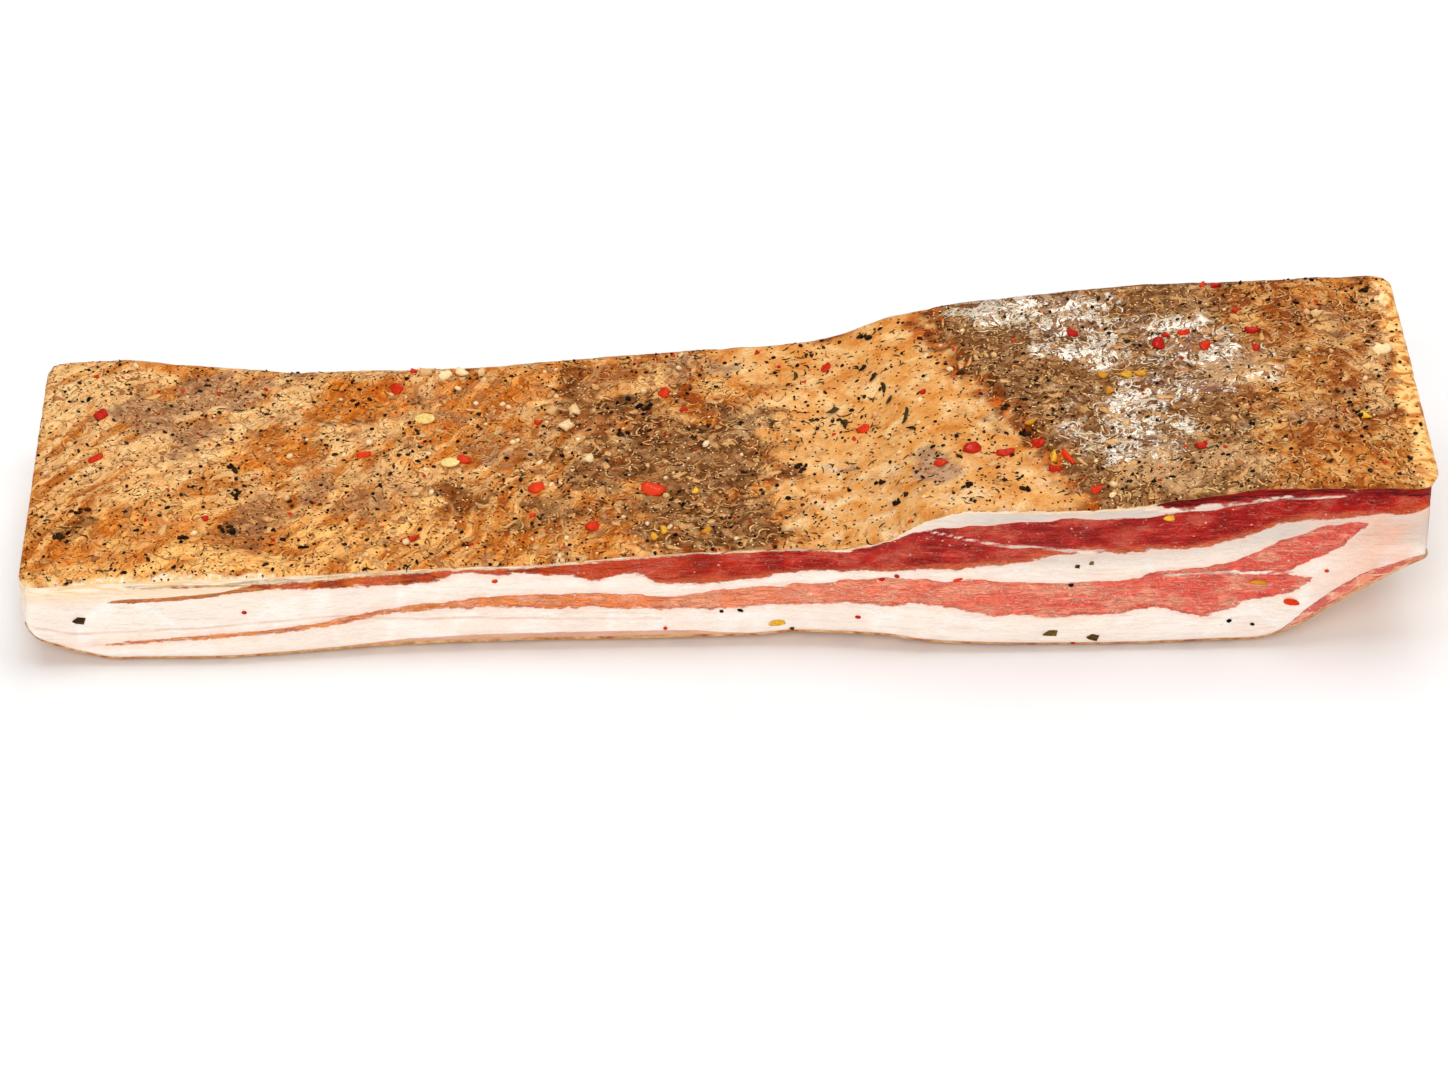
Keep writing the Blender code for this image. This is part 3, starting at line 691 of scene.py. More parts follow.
# How the oil on the top shifts the light of dark, light, clear and golden places, in red, green and blue
OIL_DARK_TINT = (1.1, 0.84, 0.4, 1.0)
OIL_LIGHT_TINT = (1.07, 0.92, 0.66, 1.0)
CLEAR_TINT = (1.0, 0.97, 0.92, 1.0)
GOLDEN_TINT = (1.12, 0.84, 0.42, 1.0)

# Half the width of the painted shadow beside a stroke, and the grain of the strands of fat, in millimetres
STROKE_SHADOW = 0.24
STRAND_LENGTH = 9.0
STRAND_WIDTH = 1.3


def strokes(s, size, thin, share, curl=2.4, reach=0.44):
    """Short curved strokes, one to a cell of a pattern: where they lie, and the dark edge of painted shadow
    beside them.
    """
    place = s.node("ShaderNodeVectorMath", 0, operation="MULTIPLY_ADD",
                   inputs={0: s.flat, 1: (1 / size, 1 / size, 0), 2: (size, 2.3 * size, 0)})
    cells = s.parts("ShaderNodeTexVoronoi", {"Vector": place, "Scale": 1.0}, voronoi_dimensions="2D")
    turn, bow, drawn = s.parts("ShaderNodeSeparateColor", {0: cells["Color"]})
    local = s.node("ShaderNodeVectorMath", 0, {0: place, 1: cells["Position"]}, operation="SUBTRACT")
    local = s.node("ShaderNodeVectorRotate", 0, {"Vector": local, "Angle": s.times(turn, math.tau)},
                   rotation_type="Z_AXIS")
    along, across, _ = s.parts("ShaderNodeSeparateXYZ", {0: local})
    across = s.plus(across, s.times(along, along, s.between(bow, 0.0, 1.0, -curl, curl)))
    here = s.times(s.between(s.size_of(along), reach, 0.7 * reach), s.between(drawn, 1 - share, 1.02 - share))
    body = s.times(s.between(s.size_of(across), thin, 0.5 * thin), here)
    edge = STROKE_SHADOW / size
    beside = s.size_of(s.plus(across, thin + 0.5 * edge))
    return body, s.times(s.between(beside, edge, 0.4 * edge), here), bow


def crust_base(s, swirl, mottle, fibre, left):
    """Browned fat from dark to pale, and strands of fat over it on the left, with painted light on their
    ridges and painted shade in their valleys.
    """
    shade = s.plus(s.value("tone"), s.between(swirl, 0.2, 0.8, -0.3, 0.3),
                   s.between(mottle, 0.3, 0.7, -0.1, 0.1), s.between(s.place_x, -80.0, -50.0, 0.0, -0.12))
    browned = s.ramp(shade, (0.12, (146, 74, 16)), (0.34, (186, 114, 46)), (0.56, (212, 148, 82)),
                     (0.84, (238, 196, 142)))
    # Strands pale on their backs and brown between them: partly the fat's own colour, partly painted
    # highlight on the ridges and painted shade in the valleys
    ridge = s.plus(s.value("strand"), s.between(fibre, 0.3, 0.7, -0.3, 0.3))
    strand = s.ramp(ridge, (0.1, (180, 106, 44)), (0.34, (206, 138, 74)), (0.62, (228, 176, 118)),
                    (0.9, (250, 218, 176)))
    return s.lay(browned, strand, s.between(left, 0.0, 1.0, 0.0, 0.62))


def crust_patches(s, color, swirl, chance):
    """The patches of the top: browned, pale and dark places, bare fat, the grey film and its dark edge."""
    def patch(name, share, dark, light):
        return s.lay(color, s.mix(s.between(swirl, 0.35, 0.65), dark, light), s.value(name), share)

    color = patch("orange", 0.6, (186, 98, 14), (228, 152, 62))
    color = patch("pale", 0.8, (232, 186, 134), (252, 226, 188))
    color = patch("grey", 0.9, (86, 58, 36), (152, 114, 84))
    color = patch("dark", 0.85, (52, 20, 2), (142, 78, 26))
    bare = s.ramp(s.noise(7.0, 3.0, 0.55, 0.8), (0.3, (206, 130, 54)), (0.42, (222, 160, 92)),
                  (0.54, (230, 182, 124)), (0.68, (244, 214, 172)))
    bare = s.lay(bare, (178, 104, 40), line_mask(s, swirl, 0.52, 0.025), 0.5)
    color = s.lay(color, bare, s.value("fatty"), 0.92)
    color = patch("mauve", 0.85, (134, 98, 78), (192, 152, 126))
    film = s.value("film")
    grey = s.ramp(swirl, (0.34, (88, 60, 40)), (0.5, (126, 94, 68)), (0.66, (166, 132, 100)))
    color = s.lay(color, grey, film, 0.9)
    color = s.lay(color, (226, 188, 152), s.times(film, s.value("pale")), 0.5)
    return s.lay(color, s.mix(chance, (74, 28, 2), (196, 98, 12)), s.value("shade"), 0.95)


def painted_glare_mask(s, mottle):
    """Where a reflection of light on the wet film is painted white into its colour, in ragged patches."""
    painted_glare = s.plus(s.noise((4.4, 7.0, 5.0), 2.0, 0.5, 2.6), s.between(mottle, 0.3, 0.7, -0.1, 0.1),
                   s.between(s.value("tone"), 0.3, 0.7, -0.1, 0.1))
    return s.times(s.value("wet"), s.between(painted_glare, 0.52, 0.56))


def crust_edges(s, color, swirl, mottle):
    """The pale rim at the right end and the cream edge along the front on the left."""
    rim = s.ramp(swirl, (0.36, (196, 120, 44)), (0.48, (238, 184, 112)), (0.6, (255, 226, 170)))
    color = s.lay(color, rim, s.value("rim"), 0.85)
    cream = s.mix(s.between(mottle, 0.4, 0.6), (244, 206, 140), (255, 240, 216))
    return s.lay(color, cream, s.value("cream"), 0.9)


def crust_lines(s, swirl, mottle, fibre, left):
    """Pale strokes that are partly pale fibres and partly painted highlights, the dark lines of painted shade
    beside and between them, and a chance value for each small stroke.
    """
    small, small_shadow, chance = strokes(s, 2.1, 0.1, 0.3)
    medium, medium_shadow, _ = strokes(s, 3.9, 0.08, 0.5)
    broad, broad_shadow, _ = strokes(s, 8.0, 0.14, 0.85, 1.4)
    rough_part = s.minus(1.0, s.times(s.most(s.value("fatty"), s.value("cream"), s.value("rim")), 0.85))
    # The pale bodies of the strokes: partly pale fibres, partly painted highlights
    pale = s.most(small, medium, s.times(broad, 0.45))
    pale = s.times(pale, s.between(left, 0.0, 1.0, 1.0, 0.55), rough_part)
    # Painted shadow beside the strokes, weaker where the swirl is low
    dark = s.most(small_shadow, medium_shadow, s.times(broad_shadow, 0.7))
    dark = s.times(dark, s.between(swirl, 0.36, 0.5, 0.25, 1.0))
    # Curly dark lines of painted shade, the shadow side of small ridges, strongest on the film
    curls = line_mask(s, s.noise(2.6, 1.0, 0.5, 2.2), 0.5, 0.045)
    curls = s.times(curls, s.between(mottle, 0.42, 0.56, 0.15, 1.0),
                    s.between(s.value("film"), 0.0, 1.0, 0.75, 1.0))
    # Painted shade in the grooves between the strands of fat on the left
    groove_shade = s.times(line_mask(s, fibre, 0.44, 0.02), left, s.between(swirl, 0.45, 0.55))
    return pale, s.times(s.most(dark, curls, groove_shade), rough_part), chance


def crust_details(s, color, mottle, left, pale_fibre_and_highlight, painted_shade_line, chance):
    """Strokes and lines, black specks and small painted glints over the crust's colour."""
    # The pale strokes: tan to pale fibres, painted near white as highlights on the wet film
    line_color = s.mix(chance, (232, 170, 102), (254, 222, 176))
    line_color = s.lay(line_color, (246, 228, 204), s.value("wet"), s.between(chance, 0.3, 0.6))
    color = s.lay(color, line_color, pale_fibre_and_highlight, 0.75)
    # The painted shade lines, browner on the left
    color = s.lay(color, s.mix(left, (92, 44, 10), (138, 74, 20)), painted_shade_line, 0.85)
    dots = s.cells(1.7, voronoi_dimensions="2D")
    color = s.lay(color, (18, 9, 4), s.times(s.between(dots, 0.2, 0.14), s.between(mottle, 0.5, 0.54)), 0.95)
    # Painted glints: tiny pale dots that stand in for highlights, most on the film and on the grey and dark
    # places
    glint_cells = s.cells(1.25, voronoi_dimensions="2D")
    painted_glint = s.times(s.between(glint_cells, 0.2, 0.1), s.between(s.noise(1.3, 1.0, 0.5), 0.55, 0.58))
    glint_amount = s.most(s.value("film"), s.value("grey"), s.value("dark"))
    return s.lay(color, (255, 238, 210), painted_glint, s.between(glint_amount, 0.0, 1.0, 0.3, 0.9))


def oil_tint(s, color, swirl, left, painted_glare):
    """The oil's shift of each colour: brown where it is dark, golden near the front, clear on bare fat and on
    the painted glare.
    """
    green = s.node("ShaderNodeSeparateColor", 1, {0: color})
    oil = s.mix(s.between(green, 0.02, 0.2), OIL_DARK_TINT, OIL_LIGHT_TINT)
    near_front = s.between(s.node("ShaderNodeSeparateXYZ", 1, {0: s.flat}), 8.0, -28.0)
    oil = s.lay(oil, GOLDEN_TINT, s.times(s.most(near_front, s.value("orange")), left), 0.8)
    clear = s.times(s.value("fatty"), s.between(swirl, 0.35, 0.6), s.between(near_front, 0.0, 1.0, 0.3, 0.9))
    return s.lay(oil, CLEAR_TINT, s.most(clear, s.times(painted_glare, 0.9), s.value("cream")))


def crust_surface():
    """The seasoned top: strands of fat, flakes with painted shade beside them, bare fat and a glossy grey
    film with a painted white glare.
    """
    s = Surface("crust", 0.5, Subsurface_Weight=0.08, Subsurface_Scale=0.001, Coat_Roughness=0.12,
                Coat_IOR=1.6, Specular_IOR_Level=0.03)
    swirl = s.noise(5.5, 2.0, 0.5, 2.6)
    mottle = s.noise(1.7, 3.0, 0.6, 0.8)
    strand_x = s.math("DIVIDE", s.value("strand_along"), STRAND_LENGTH)
    strand_y = s.math("DIVIDE", s.value("strand_across"), STRAND_WIDTH)
    strand_place = s.node("ShaderNodeCombineXYZ", 0, {0: strand_x, 1: strand_y})
    fibre = s.node("ShaderNodeTexNoise", "Fac", {"Vector": strand_place, "Scale": 1.0, "Detail": 2.0},
                   noise_dimensions="2D")
    left = s.between(s.place_x, 0.0, -60.0)
    pale_fibre_and_highlight, painted_shade_line, chance = crust_lines(s, swirl, mottle, fibre, left)
    painted_glare = painted_glare_mask(s, mottle)
    color = crust_patches(s, crust_base(s, swirl, mottle, fibre, left), swirl, chance)
    # Painted reflection: ragged white patches of glare on the wet film are laid into the colour
    color = crust_edges(s, s.lay(color, (240, 226, 208), painted_glare, 0.78), swirl, mottle)
    color = crust_details(s, color, mottle, left, pale_fibre_and_highlight, painted_shade_line, chance)
    oil = oil_tint(s, color, swirl, left, painted_glare)
    s.set("Base Color", s.node("ShaderNodeVectorMath", 0, {0: color, 1: oil}, operation="MULTIPLY"))
    wet = s.value("wet")
    s.set("Roughness", s.between(wet, 0.0, 1.0, 0.5, 0.3))
    # The real coat follows the wet film, the painted glare and the rim, and stays off the painted shade lines
    gloss = s.most(s.times(wet, 0.12), s.times(painted_glare, 0.6), s.times(s.value("rim"), 0.3))
    s.set("Coat Weight", s.times(gloss, s.minus(1.0, painted_shade_line)))
    relief = s.plus(s.times(pale_fibre_and_highlight, 0.16), s.times(painted_shade_line, -0.16), s.times(fibre, left, 0.5),
                    s.times(mottle, s.between(wet, 0.0, 1.0, 0.25, 0.5)))
    s.set("Normal", s.bump(relief, 1.0))
    return s.material


def grain_surface(name, light, dark, roughness, coat=0.0, subsurface=0.0):
    """A surface for scattered pieces: two tones shared out by each piece's own value, with fine mottling."""
    s = Surface(name, roughness, Coat_Weight=coat, Coat_Roughness=0.15, Subsurface_Weight=subsurface,
                Subsurface_Scale=0.001, Specular_IOR_Level=0.06)
    share = s.plus(s.value("tint"), s.between(s.noise(0.7, 4.0, 0.65), 0.3, 0.7, -0.3, 0.3))
    s.set("Base Color", s.mix(s.between(share, 0.0, 1.0), dark, light))
    s.set("Normal", s.bump(s.noise(0.5, 3.0, 0.6), 0.25, 0.6))
    return s.material


# How a place on the top is found: rounds of correction, the least share from an edge, the step for its slope
PLACING_ROUNDS = 4
EDGE_SHARE = 0.004
SLOPE_STEP = 0.5


def on_top(x, y):
    """Places on the top and the directions that point away from it there."""
    u = x / LENGTH + 0.5
    v = (y - FRONT) / DEPTH
    whole = np.ones_like(u)
    for _ in range(PLACING_ROUNDS):
        reached = place_points(u, v, whole)[1]
        v = np.clip(v + (y - reached) / DEPTH, EDGE_SHARE, 1 - EDGE_SHARE)
    here = np.stack(place_points(u, v, whole)[:3], axis=1)
    right = np.stack(place_points(np.clip(u + SLOPE_STEP / LENGTH, 0, 1), v, whole)[:3], axis=1)
    back = np.stack(place_points(u, np.clip(v + SLOPE_STEP / DEPTH, 0, 1), whole)[:3], axis=1)
    normal = np.cross(right - here, back - here)
    return here, normal / np.linalg.norm(normal, axis=1, keepdims=True)


def on_front(x, z):
    """Places on the front cut and the directions that point away from it there."""
    u = x / LENGTH + 0.5
    v = np.zeros_like(u)
    under, top = under_height(x, v + FRONT), top_height(x, v + FRONT)
    w = np.clip((z - under) / (top - under), 0.02, 0.98)
    here = np.stack(place_points(u, v, w)[:3], axis=1)
    return here, np.tile((0.0, -1.0, 0.0), (len(here), 1))


def frames_on(normal, turn, lean):
    """Three directions for each piece: along it, across it and out of the surface."""
    helper = np.where(np.abs(normal[:, 2:3]) > 0.5, (1.0, 0.0, 0.0), (0.0, 0.0, 1.0))
    first = np.cross(np.cross(normal, helper), normal)
    first /= np.linalg.norm(first, axis=1, keepdims=True)
    second = np.cross(normal, first)
    cosine, sine = np.cos(turn)[:, None], np.sin(turn)[:, None]
    along = first * cosine + second * sine
    out = normal + lean
    out /= np.linalg.norm(out, axis=1, keepdims=True)
    across = np.cross(out, along)
    across /= np.linalg.norm(across, axis=1, keepdims=True)
    along = np.cross(across, out)
    return along, across, out


def scatter(name, template, spots, normals, sizes, draw, jitter=0.0, lean=0.15, sink=0.3, turn=None):
    """One mesh of many copies of a small closed shape, each with its own size, turn and unevenness."""
    shape, faces = template
    count, corners = len(spots), len(shape)
    turn = draw.uniform(0, 2 * math.pi, count) if turn is None else turn
    along, across, out = frames_on(normals, turn, draw.normal(0, lean, (count, 3)))
    local = np.tile(shape, (count, 1, 1)) * (1 + draw.normal(0, jitter, (count, corners, 1)))
    local = local * (sizes[:, None] / 2)
    centres = spots + out * (sizes[:, 2:3] / 2 - sink * sizes[:, 2:3])
    points = (centres[:, None] + local[:, :, :1] * along[:, None] + local[:, :, 1:2] * across[:, None]
              + local[:, :, 2:] * out[:, None])
    all_faces = (faces[None, :, :] + (np.arange(count) * corners)[:, None, None]).reshape(-1, faces.shape[1])
    tint = np.repeat(draw.uniform(0, 1, count), corners)
    return new_object(name, points.reshape(-1, 3), all_faces, {"tint": tint})


def as_arrays(body):
    """The points and the faces of a small shape."""
    points = np.array([vert.co[:] for vert in body.verts])
    faces = np.array([[vert.index for vert in face.verts] for face in body.faces])
    body.free()
    return points, faces


def shard_template():
    """A rough ball with twenty faces."""
    body = bmesh.new()
    bmesh.ops.create_icosphere(body, subdivisions=1, radius=1.0)
    return as_arrays(body)


def disc_template(sides, rings, rim, dish=0.0):
    """A flat rounded piece: a ball squashed to a disc, with a rim of the given fullness."""
    body = bmesh.new()
    bmesh.ops.create_uvsphere(body, u_segments=sides, v_segments=rings, radius=1.0)
    bmesh.ops.triangulate(body, faces=body.faces[:])
    for vert in body.verts:
        reach = math.hypot(vert.co.x, vert.co.y)
        height = vert.co.z
        vert.co.z = math.copysign(abs(height) ** rim, height) + dish * (reach ** 2 - 0.5)
    return as_arrays(body)


def flake_template(draw, sides=11):
    """A torn chip of skin: an uneven outline, bowed and ridged, with a real thickness."""
    reach = 1 + draw.normal(0, 0.13, sides)
    angle = (np.arange(sides) + draw.uniform(-0.25, 0.25, sides)) * 2 * math.pi / sides
    points = []
    for level in (1.0, -1.0):
        for share, rise in ((1.0, 0.55), (0.55, 1.0)):
            bow = 0.9 * (share ** 2) * np.cos(2 * angle + 0.6)
            points.append(np.stack([reach * share * np.cos(angle), reach * share * np.sin(angle),
                                    level * rise + bow], axis=1))
        points.append(np.array([[0, 0, level]]))
    inner, middle, lower = sides, 2 * sides, 2 * sides + 1
    faces = []
    for i in range(sides):
        j = (i + 1) % sides
        faces += [(i, j, inner + i), (j, inner + j, inner + i), (inner + i, inner + j, middle),
                  (lower + j, lower + i, lower + inner + i),
                  (lower + j, lower + inner + i, lower + inner + j),
                  (lower + inner + j, lower + inner + i, lower + middle),
                  (j, i, lower + i), (j, lower + i, lower + j)]
    return np.concatenate(points), np.array(faces)


def sliver_template(bow=0.5, sections=6):
    """A thin curved strip, three-sided and pointed at both ends."""
    points, faces = [], []
    for i in range(sections):
        t = 2 * i / (sections - 1) - 1
        full = math.sqrt(max(0.06, 1 - t * t))
        aside = bow * (t * t - 0.4) * 4
        for k in range(3):
            angle = 2 * math.pi * k / 3 + 0.5
            points.append((t, aside + full * math.cos(angle), full * math.sin(angle)))
    for i in range(sections - 1):
        for k in range(3):
            a, b = 3 * i + k, 3 * i + (k + 1) % 3
            faces += [(a, b, b + 3), (a, b + 3, a + 3)]
    last = 3 * (sections - 1)
    faces += [(2, 1, 0), (last, last + 1, last + 2)]
    return np.array(points), np.array(faces)


# Counts of the small curled shreds and flakes of dried skin
CURL_COUNT = 520
FLAKE_COUNT = 420
GLOSSY_CURL_COUNT = 200
# How far they stay from the edges of the top
CURL_MARGIN = 4.0

# Seasoning that stands in a known place: X and Y on the top, length and width
CHILLI_FLAKES = (
    (-136, 19, 3.4, 3.2), (-136, 3, 4.0, 2.4), (-111, -20, 1.6, 1.6), (-78, 5, 3.4, 2.2), (-72, 32, 4.6, 4.4),
    (-68, 40, 1.9, 1.9), (-67, -28, 4.4, 2.8), (-56, 2, 3.4, 3.2), (-40, -10, 3.8, 3.6), (-40, 17, 1.8, 1.8),
    (-41, -21, 1.6, 1.6), (-28, -28, 3.2, 3.0), (-15, -15, 5.6, 4.8), (-12, 24, 3.0, 3.0), (-8, 17, 1.6, 1.6),
    (9, 38, 1.0, 1.0), (24, 29, 3.0, 2.4), (31, 2, 3.2, 2.8), (44, 7, 1.6, 1.6), (46, -23, 3.4, 2.6),
    (53, -19, 4.2, 3.8), (60, -21, 4.2, 2.8), (67, -19, 3.6, 3.2), (73, -25, 7.0, 1.2), (70, -28, 3.0, 2.6),
    (78, -37, 2.6, 2.2), (78, 25, 3.0, 2.4), (96, 17, 4.0, 3.0), (98, 20, 2.0, 1.6), (101, -24, 3.2, 2.4),
    (102, 21, 3.0, 2.6), (106, 15, 4.2, 2.6), (111, 39, 3.4, 2.2), (108, 40, 1.8, 1.4), (117, 20, 3.8, 2.6),
    (117, 13, 2.0, 2.2), (114, 28, 1.8, 1.6),
)
CHILLI_SEEDS = ((-65, 19, 4.8, 3.6), (-59, 1, 4.2, 3.6))
AMBER_CHIPS = (
    (84, 0, 2.6, 2.2), (83, 7, 2.6, 2.4), (88, 6, 3.4, 3.0), (91, 6, 2.6, 2.4), (-15, -33, 2.0, 1.8),
    (-13, -31, 2.2, 1.6), (-4, -32, 2.4, 2.0), (-6, -16, 2.0, 1.6), (70, -24, 3.4, 1.4),
    (66, -12, 3.0, 1.4), (137, -16, 3.0, 2.2),
)
GARLIC_GRAINS = (
    (-65, 39, 3.6, 3.0), (-61, 38, 3.2, 2.8), (-57, 39, 3.0, 2.6), (-53, 39, 2.4, 2.0), (-34, 14, 3.8, 3.2),
    (-37, 21, 2.8, 2.4), (-32, 20, 2.8, 2.6), (-29, -1, 2.8, 2.4), (132, 26, 2.8, 2.6), (144, 10, 4.2, 3.6),
)
PEPPER_GRAINS = (
    (-141, -25, 2.8, 2.4), (-138, -16, 2.8, 2.4), (-106, -24, 2.6, 2.4), (-22, 9, 3.2, 2.6),
    (-21, 23, 3.2, 2.8), (-16, 19, 3.2, 2.6), (17, -9, 2.6, 2.6), (33, 36, 2.6, 2.4),
    (53, 11, 2.4, 2.0), (51, -34, 2.4, 2.2), (61, -4, 2.0, 1.8), (65, -14, 2.2, 2.0),
    (63, -36, 2.0, 1.8), (34, -21, 1.8, 1.6), (37, -31, 2.2, 1.8), (137, -16, 3.0, 2.6),
    (143, 34, 3.0, 2.6), (-106, -1, 1.8, 1.8), (-115, -28, 1.8, 1.6), (-105, -11, 1.9, 1.7),
)
TWIGS = (
    (32, 25, 2.4, 1.3), (34, 20, 4.0, 1.4), (36, 14, 4.2, 1.2), (37, 9, 4.0, 1.3), (40, 0, 6.0, 1.1),
    (41, -6, 3.0, 1.0), (17, 27, 3.0, 0.9), (25, 12, 5.0, 2.0), (27, 6, 3.6, 1.7),
)
# Seasoning on the front cut: which kind, X and Z, length and height
CUT_SIDE_GRAINS = (
    ("herb", -137, 12, 3.3, 2.0), ("amber", 11, 6.5, 4.0, 1.8), ("herb", 69, 5.0, 4.0, 1.8),
    ("herb", 78, 3.8, 3.2, 1.8), ("amber", 93, 34, 2.8, 1.8), ("amber", 113, 17, 4.2, 1.4),
    ("chilli", 120, 12.2, 3.8, 1.8), ("pepper", 107, 7.6, 1.4, 1.0), ("pepper", -1, 9.3, 1.1, 0.9),
    ("pepper", 3, 9.5, 1.6, 0.8), ("pepper", 73, 17.1, 1.4, 1.3), ("pepper", 112, 6.6, 1.2, 0.8),
    ("chilli", -49, 18.1, 1.3, 0.9), ("chilli", -102, 13.6, 1.2, 0.8), ("chilli", -13, 5.3, 0.9, 0.9),
    ("chilli", 28, 8.7, 1.3, 0.8), ("chilli", 33, 18.6, 1.4, 1.0), ("chilli", 36, 19.8, 1.3, 0.9),
    ("chilli", 49, 19.1, 2.2, 0.7), ("herb", 77, 23.0, 1.3, 0.9), ("herb", 74, 22.3, 1.4, 0.9),
    ("chilli", 74, 0.9, 1.1, 0.8), ("herb", 14, 4.8, 1.2, 1.0), ("chilli", 127, 20.2, 1.0, 0.8),
)
# The seed of all random draws, the counts of the fine seasoning, and how far it stays from the edges
SPREAD_SEED = 7
PEPPER_COUNT = 1900
HERB_COUNT = 560
CHIP_COUNT = 130
GARLIC_COUNT = 190
END_MARGIN = 1.2
SIDE_MARGIN = 1.0


def spread(count, draw, weight):
    """Random places over the top, kept more often where the weight is high."""
    kept = np.zeros((0, 2))
    while len(kept) < count:
        tries = draw.uniform((-LENGTH / 2 + END_MARGIN, FRONT + SIDE_MARGIN),
                             (LENGTH / 2 - END_MARGIN, -FRONT - SIDE_MARGIN), (count, 2))
        chance = weight(tries[:, 0], tries[:, 1])
        kept = np.concatenate([kept, tries[draw.uniform(0, 1, count) < chance]])
    return kept[:count, 0], kept[:count, 1]


def columns(rows):
    """Known places as arrays: X, Y, length and width."""
    return (np.array(column, float) for column in zip(*rows))


def box_sizes(length, width, thickness):
    return np.stack([length, width, np.broadcast_to(thickness, np.shape(length))], axis=1)


def fatty_part(x, y):
    """How bare the fat of the top is at a place, from 0 to 1."""
    return np.clip(patch_strength("fatty", x, y), 0, 1) * (x < MEMBRANE_EDGE(y))


def pepper_weight(x, y):
    crowd = 0.25 + 0.75 * soft_step(0.5 + 2.0 * ripple(x / 12, y / 12, 11.0))
    return crowd * (1 - 0.55 * np.clip(patch_strength("wet", x, y), 0, 1) * (x > 55))


def herb_weight(x, y):
    return pepper_weight(x, y) * (0.4 + 0.6 * fatty_part(x, y))


def curl_weight(x, y):
    crowd = 0.2 + 0.8 * soft_step(0.4 + 2.0 * ripple(x / 9, y / 9, 13.0))
    inside = (np.abs(y) < DEPTH / 2 - CURL_MARGIN) & (np.abs(x) < LENGTH / 2 - CURL_MARGIN)
    film = 0.7 * (x > MEMBRANE_EDGE(y))
    rightward = 0.45 + 0.55 * soft_step((x + 90) / 60)
    return (1 - 0.95 * fatty_part(x, y)) * crowd * rightward * inside * (1 - film)


def glossy_weight(x, y):
    crowd = soft_step(0.4 + 2.2 * ripple(x / 8, y / 8, 17.0))
    inside = np.abs(y) < DEPTH / 2 - CURL_MARGIN
    return np.clip(patch_strength("wet", x, y), 0.0, 1.0) ** 2 * crowd * (x > MEMBRANE_EDGE(y)) * inside


def garlic_weight(x, y):
    return 0.25 + 0.75 * soft_step(1.5 - np.abs(x + 35) / 30)


